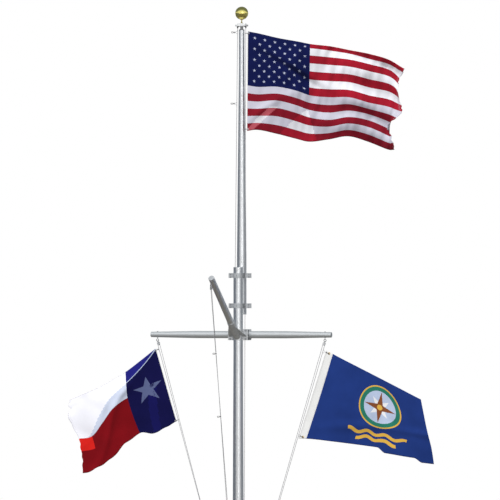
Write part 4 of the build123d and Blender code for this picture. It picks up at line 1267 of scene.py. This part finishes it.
BALL_Z = 10.938
BALL_RADIUS = 0.104
TRUCK_TOP = TRUCK_BOTTOM + 63 * MM
FOOT_COLLAR_MM = ((17, -1), (17, 6), (12, 10), (12, 18), (8.2, 22))
BALL_COLLAR_MM = ((8.2, -8), (13, -6), (19, 1), (19, 3))


def make_finial_trim():
    """The fine line where the ball's two spun halves meet, and the collars at the rod's ends."""
    seam, collars = Shape(), Shape()
    seam.torus(BALL_RADIUS, 0.5 * MM, Matrix.Translation((0, TOPMAST_Y, BALL_Z)), 96, 6)
    seam.piece("finial_ball_seam", SEAM, "truck", "gold_anodised")
    for section, z in ((FOOT_COLLAR_MM, TRUCK_TOP), (BALL_COLLAR_MM, BALL_Z - BALL_RADIUS)):
        collars.turned(in_mm(section), Matrix.Translation((0, TOPMAST_Y, z)), 32)
    collars.piece("finial_collars", DULL_GOLD, "truck", "gold_anodised")


GRUB_SCREW_MM = ((5, -6), (5, 0), (4, 0.8), (2.2, 0.8), (2.2, -3))
GRUB_SCREW_OUT = 0.1042
GRUB_SCREW_Z = TRUCK_BOTTOM + 22 * MM


def make_grub_screws():
    """Three socket screws round the truck's rim."""
    shape = Shape()
    for k in range(3):
        out = polar(1.0, radians(TRUCK_AZIMUTH + 90 + 120 * k))
        place = placed(Vector((0, TOPMAST_Y, GRUB_SCREW_Z)) + out * GRUB_SCREW_OUT, out)
        shape.turned(in_mm(GRUB_SCREW_MM), place, 6)
    shape.piece("truck_grub_screws", BOLT_STEEL, "truck", "stainless")


KEEPER_SECTION_MM = ((6.4, -15), (11.5, -15), (11.5, 12.5), (6.4, 12.5))
KEEPER_HALF_TURN = 105


def make_rope_keepers():
    """A dark guard under the truck's rim, round the outer side of each fall."""
    shape = Shape()
    for x, y in (FORWARD_RUN_MM[0][:2], AFTER_RUN_MM[0][:2]):
        foot = Vector((x * MM, y * MM, TRUCK_BOTTOM))
        place = placed(foot, UP, (foot.x, foot.y - TOPMAST_Y, 0))
        angles = evenly(radians(-KEEPER_HALF_TURN), radians(KEEPER_HALF_TURN), 16)
        shape.rings([[place @ polar(r, a, h) for r, h in in_mm(KEEPER_SECTION_MM)] for a in angles])
    shape.piece("truck_rope_keepers", KEEPER, "truck", "sheave_alloy")


# Stage, lights and camera

FLOOR_RADIUS = 30.0
FLOOR_SIDES = 64


def toward(azimuth, elevation=0.0):
    """The unit direction of something seen at an azimuth and an elevation from the object."""
    a, e = radians(azimuth), radians(elevation)
    return Vector((sin(a) * cos(e), -cos(a) * cos(e), sin(e)))


def make_stage():
    floor = Shape()
    floor.points = [toward(360 * i / FLOOR_SIDES) * FLOOR_RADIUS for i in range(FLOOR_SIDES)]
    floor.faces = [tuple(range(FLOOR_SIDES))]
    made = floor.piece("studio_floor", surface("studio_floor", (0.82, 0.82, 0.82), 0.9)[0], None)
    made.visible_diffuse = False


def sun(name, azimuth, elevation, strength, spread_angle, glints=False):
    """A sun lamp that shines from an azimuth and an elevation, as the camera's are counted."""
    lamp = bpy.data.lights.new(name, "SUN")
    lamp.energy = strength
    lamp.angle = radians(spread_angle)
    made = linked(name, lamp)
    made.visible_glossy = glints
    made.rotation_euler = (radians(90 - elevation), 0, radians(azimuth))


# The grey boards that metal reflects: side ones by the azimuths that each spans and its level, flat
# ones by an inner and outer radius, a height and a level. The flat ones' centre lies behind the pole.
SIDE_BOARDS = {"left": (-130, -29, (0.15, 0.17, 0.2)), "right": (72, 170, (0.24, 0.26, 0.28))}
BOARD_DISTANCE = 16.0
BOARD_LOW = 0.02
BOARD_HIGH = 12.3
BOARD_PARTS = 12
FLAT_BOARDS = {
    "ceiling_middle": (0.0, 12.9, 13.0, (0.17, 0.2, 0.22)),
    "ceiling_edge": (12.9, 13.4, 13.0, (0.34, 0.39, 0.42)),
    "ceiling_pale_edge": (13.4, 14.0, 13.0, (0.6, 0.66, 0.7)),
    "ceiling_palest_edge": (14.0, 15.0, 13.0, (0.85, 0.9, 0.94)),
    "ground": (0.0, 80.0, BOARD_LOW, (0.18, 0.17, 0.145)),
}
FLAT_BOARDS_BACK = 12.0
FLAT_BOARD_SIDES = 32
AMBIENT = 0.3


def board_piece(name, board, level):
    """A board that glows at one level and shows only in metal."""
    material, _, shader = surface(name, (0, 0, 0), 1.0)
    shader.inputs["Specular IOR Level"].default_value = 0.0
    shader.inputs["Emission Color"].default_value = rgba(level)
    shader.inputs["Emission Strength"].default_value = 1.0
    made = board.piece(name, material, None)
    made.visible_camera = False
    made.visible_diffuse = False
    made.visible_transmission = False
    made.visible_shadow = False


def make_boards():
    """Grey boards beside, above and below the pole, which give its bright metal dark edges."""
    for name, (start, end, level) in SIDE_BOARDS.items():
        board = Shape()
        for azimuth in evenly(start, end, BOARD_PARTS):
            way = toward(azimuth) * BOARD_DISTANCE
            board.points += [way + UP * BOARD_LOW, way + UP * BOARD_HIGH]
        board.faces = [(2 * i, 2 * i + 2, 2 * i + 3, 2 * i + 1) for i in range(BOARD_PARTS)]
        board_piece(f"{name}_board", board, level)
    ways = [toward(360 * i / FLAT_BOARD_SIDES) for i in range(FLAT_BOARD_SIDES)]
    for name, (inner, outer, height, level) in FLAT_BOARDS.items():
        board = Shape()
        middle = UP * height + AWAY * FLAT_BOARDS_BACK
        board.rings([[middle + way * radius for way in ways] for radius in (inner, outer)], capped=False)
        board_piece(f"{name}_board", board, level)


def make_world():
    """White to the camera and in metal, and a plain soft light on the cloth."""
    world = bpy.data.worlds.new("studio")
    bpy.context.scene.world = world
    world.use_nodes = True
    tree = world.node_tree
    tree.nodes.clear()
    path = node(tree, "ShaderNodeLightPath")
    seen = node(tree, "ShaderNodeBackground", {"Color": (1, 1, 1, 1), "Strength": 1.0}).outputs[0]
    soft = node(tree, "ShaderNodeBackground", {"Color": (1, 1, 1, 1), "Strength": AMBIENT}).outputs[0]
    clear = maths(tree, "MAXIMUM", path.outputs["Is Camera Ray"], path.outputs["Is Transmission Ray"])
    clear = maths(tree, "MAXIMUM", clear, path.outputs["Is Glossy Ray"])
    final = node(tree, "ShaderNodeMixShader", {0: clear, 1: soft, 2: seen}).outputs[0]
    tree.links.new(final, node(tree, "ShaderNodeOutputWorld").inputs["Surface"])


def make_camera():
    data = bpy.data.cameras.new("photograph")
    data.sensor_width = SENSOR
    data.lens = SENSOR * CAMERA_DISTANCE / (FRAME_PX * PIXEL)
    data.clip_end = 3 * CAMERA_DISTANCE
    camera = linked("photograph", data)
    middle = at_picture(FRAME_PX / 2, FRAME_PX / 2)
    camera.location = middle - AWAY * CAMERA_DISTANCE
    camera.rotation_euler = (radians(90), 0, radians(VIEW_AZIMUTH))
    bpy.context.scene.camera = camera


def make_lights():
    sun("key_high", -12, 50, 0.9 * pi, 6)
    sun("key_low", 8, 14, 0.22 * pi, 3)
    sun("glint", 31, 11, 0.08 * pi, 22, glints=True)
    sun("back_left", -130, 35, 0.12 * pi, 25)
    sun("back_right", 150, 30, 0.12 * pi, 25)


bpy.context.scene.view_settings.view_transform = "Standard"
dress_nodes()
us_flag = make_us_flag()
lone_star = make_lone_star_flag()
blue = make_blue_flag()
make_ropes()
make_snaps(us_flag, lone_star, blue)
make_clamp_bolts()
make_fitting_bolts()
make_anchor_bolts()
make_shoe_weld()
make_finial_trim()
make_grub_screws()
make_rope_keepers()
make_stage()
make_boards()
make_world()
make_lights()
make_camera()
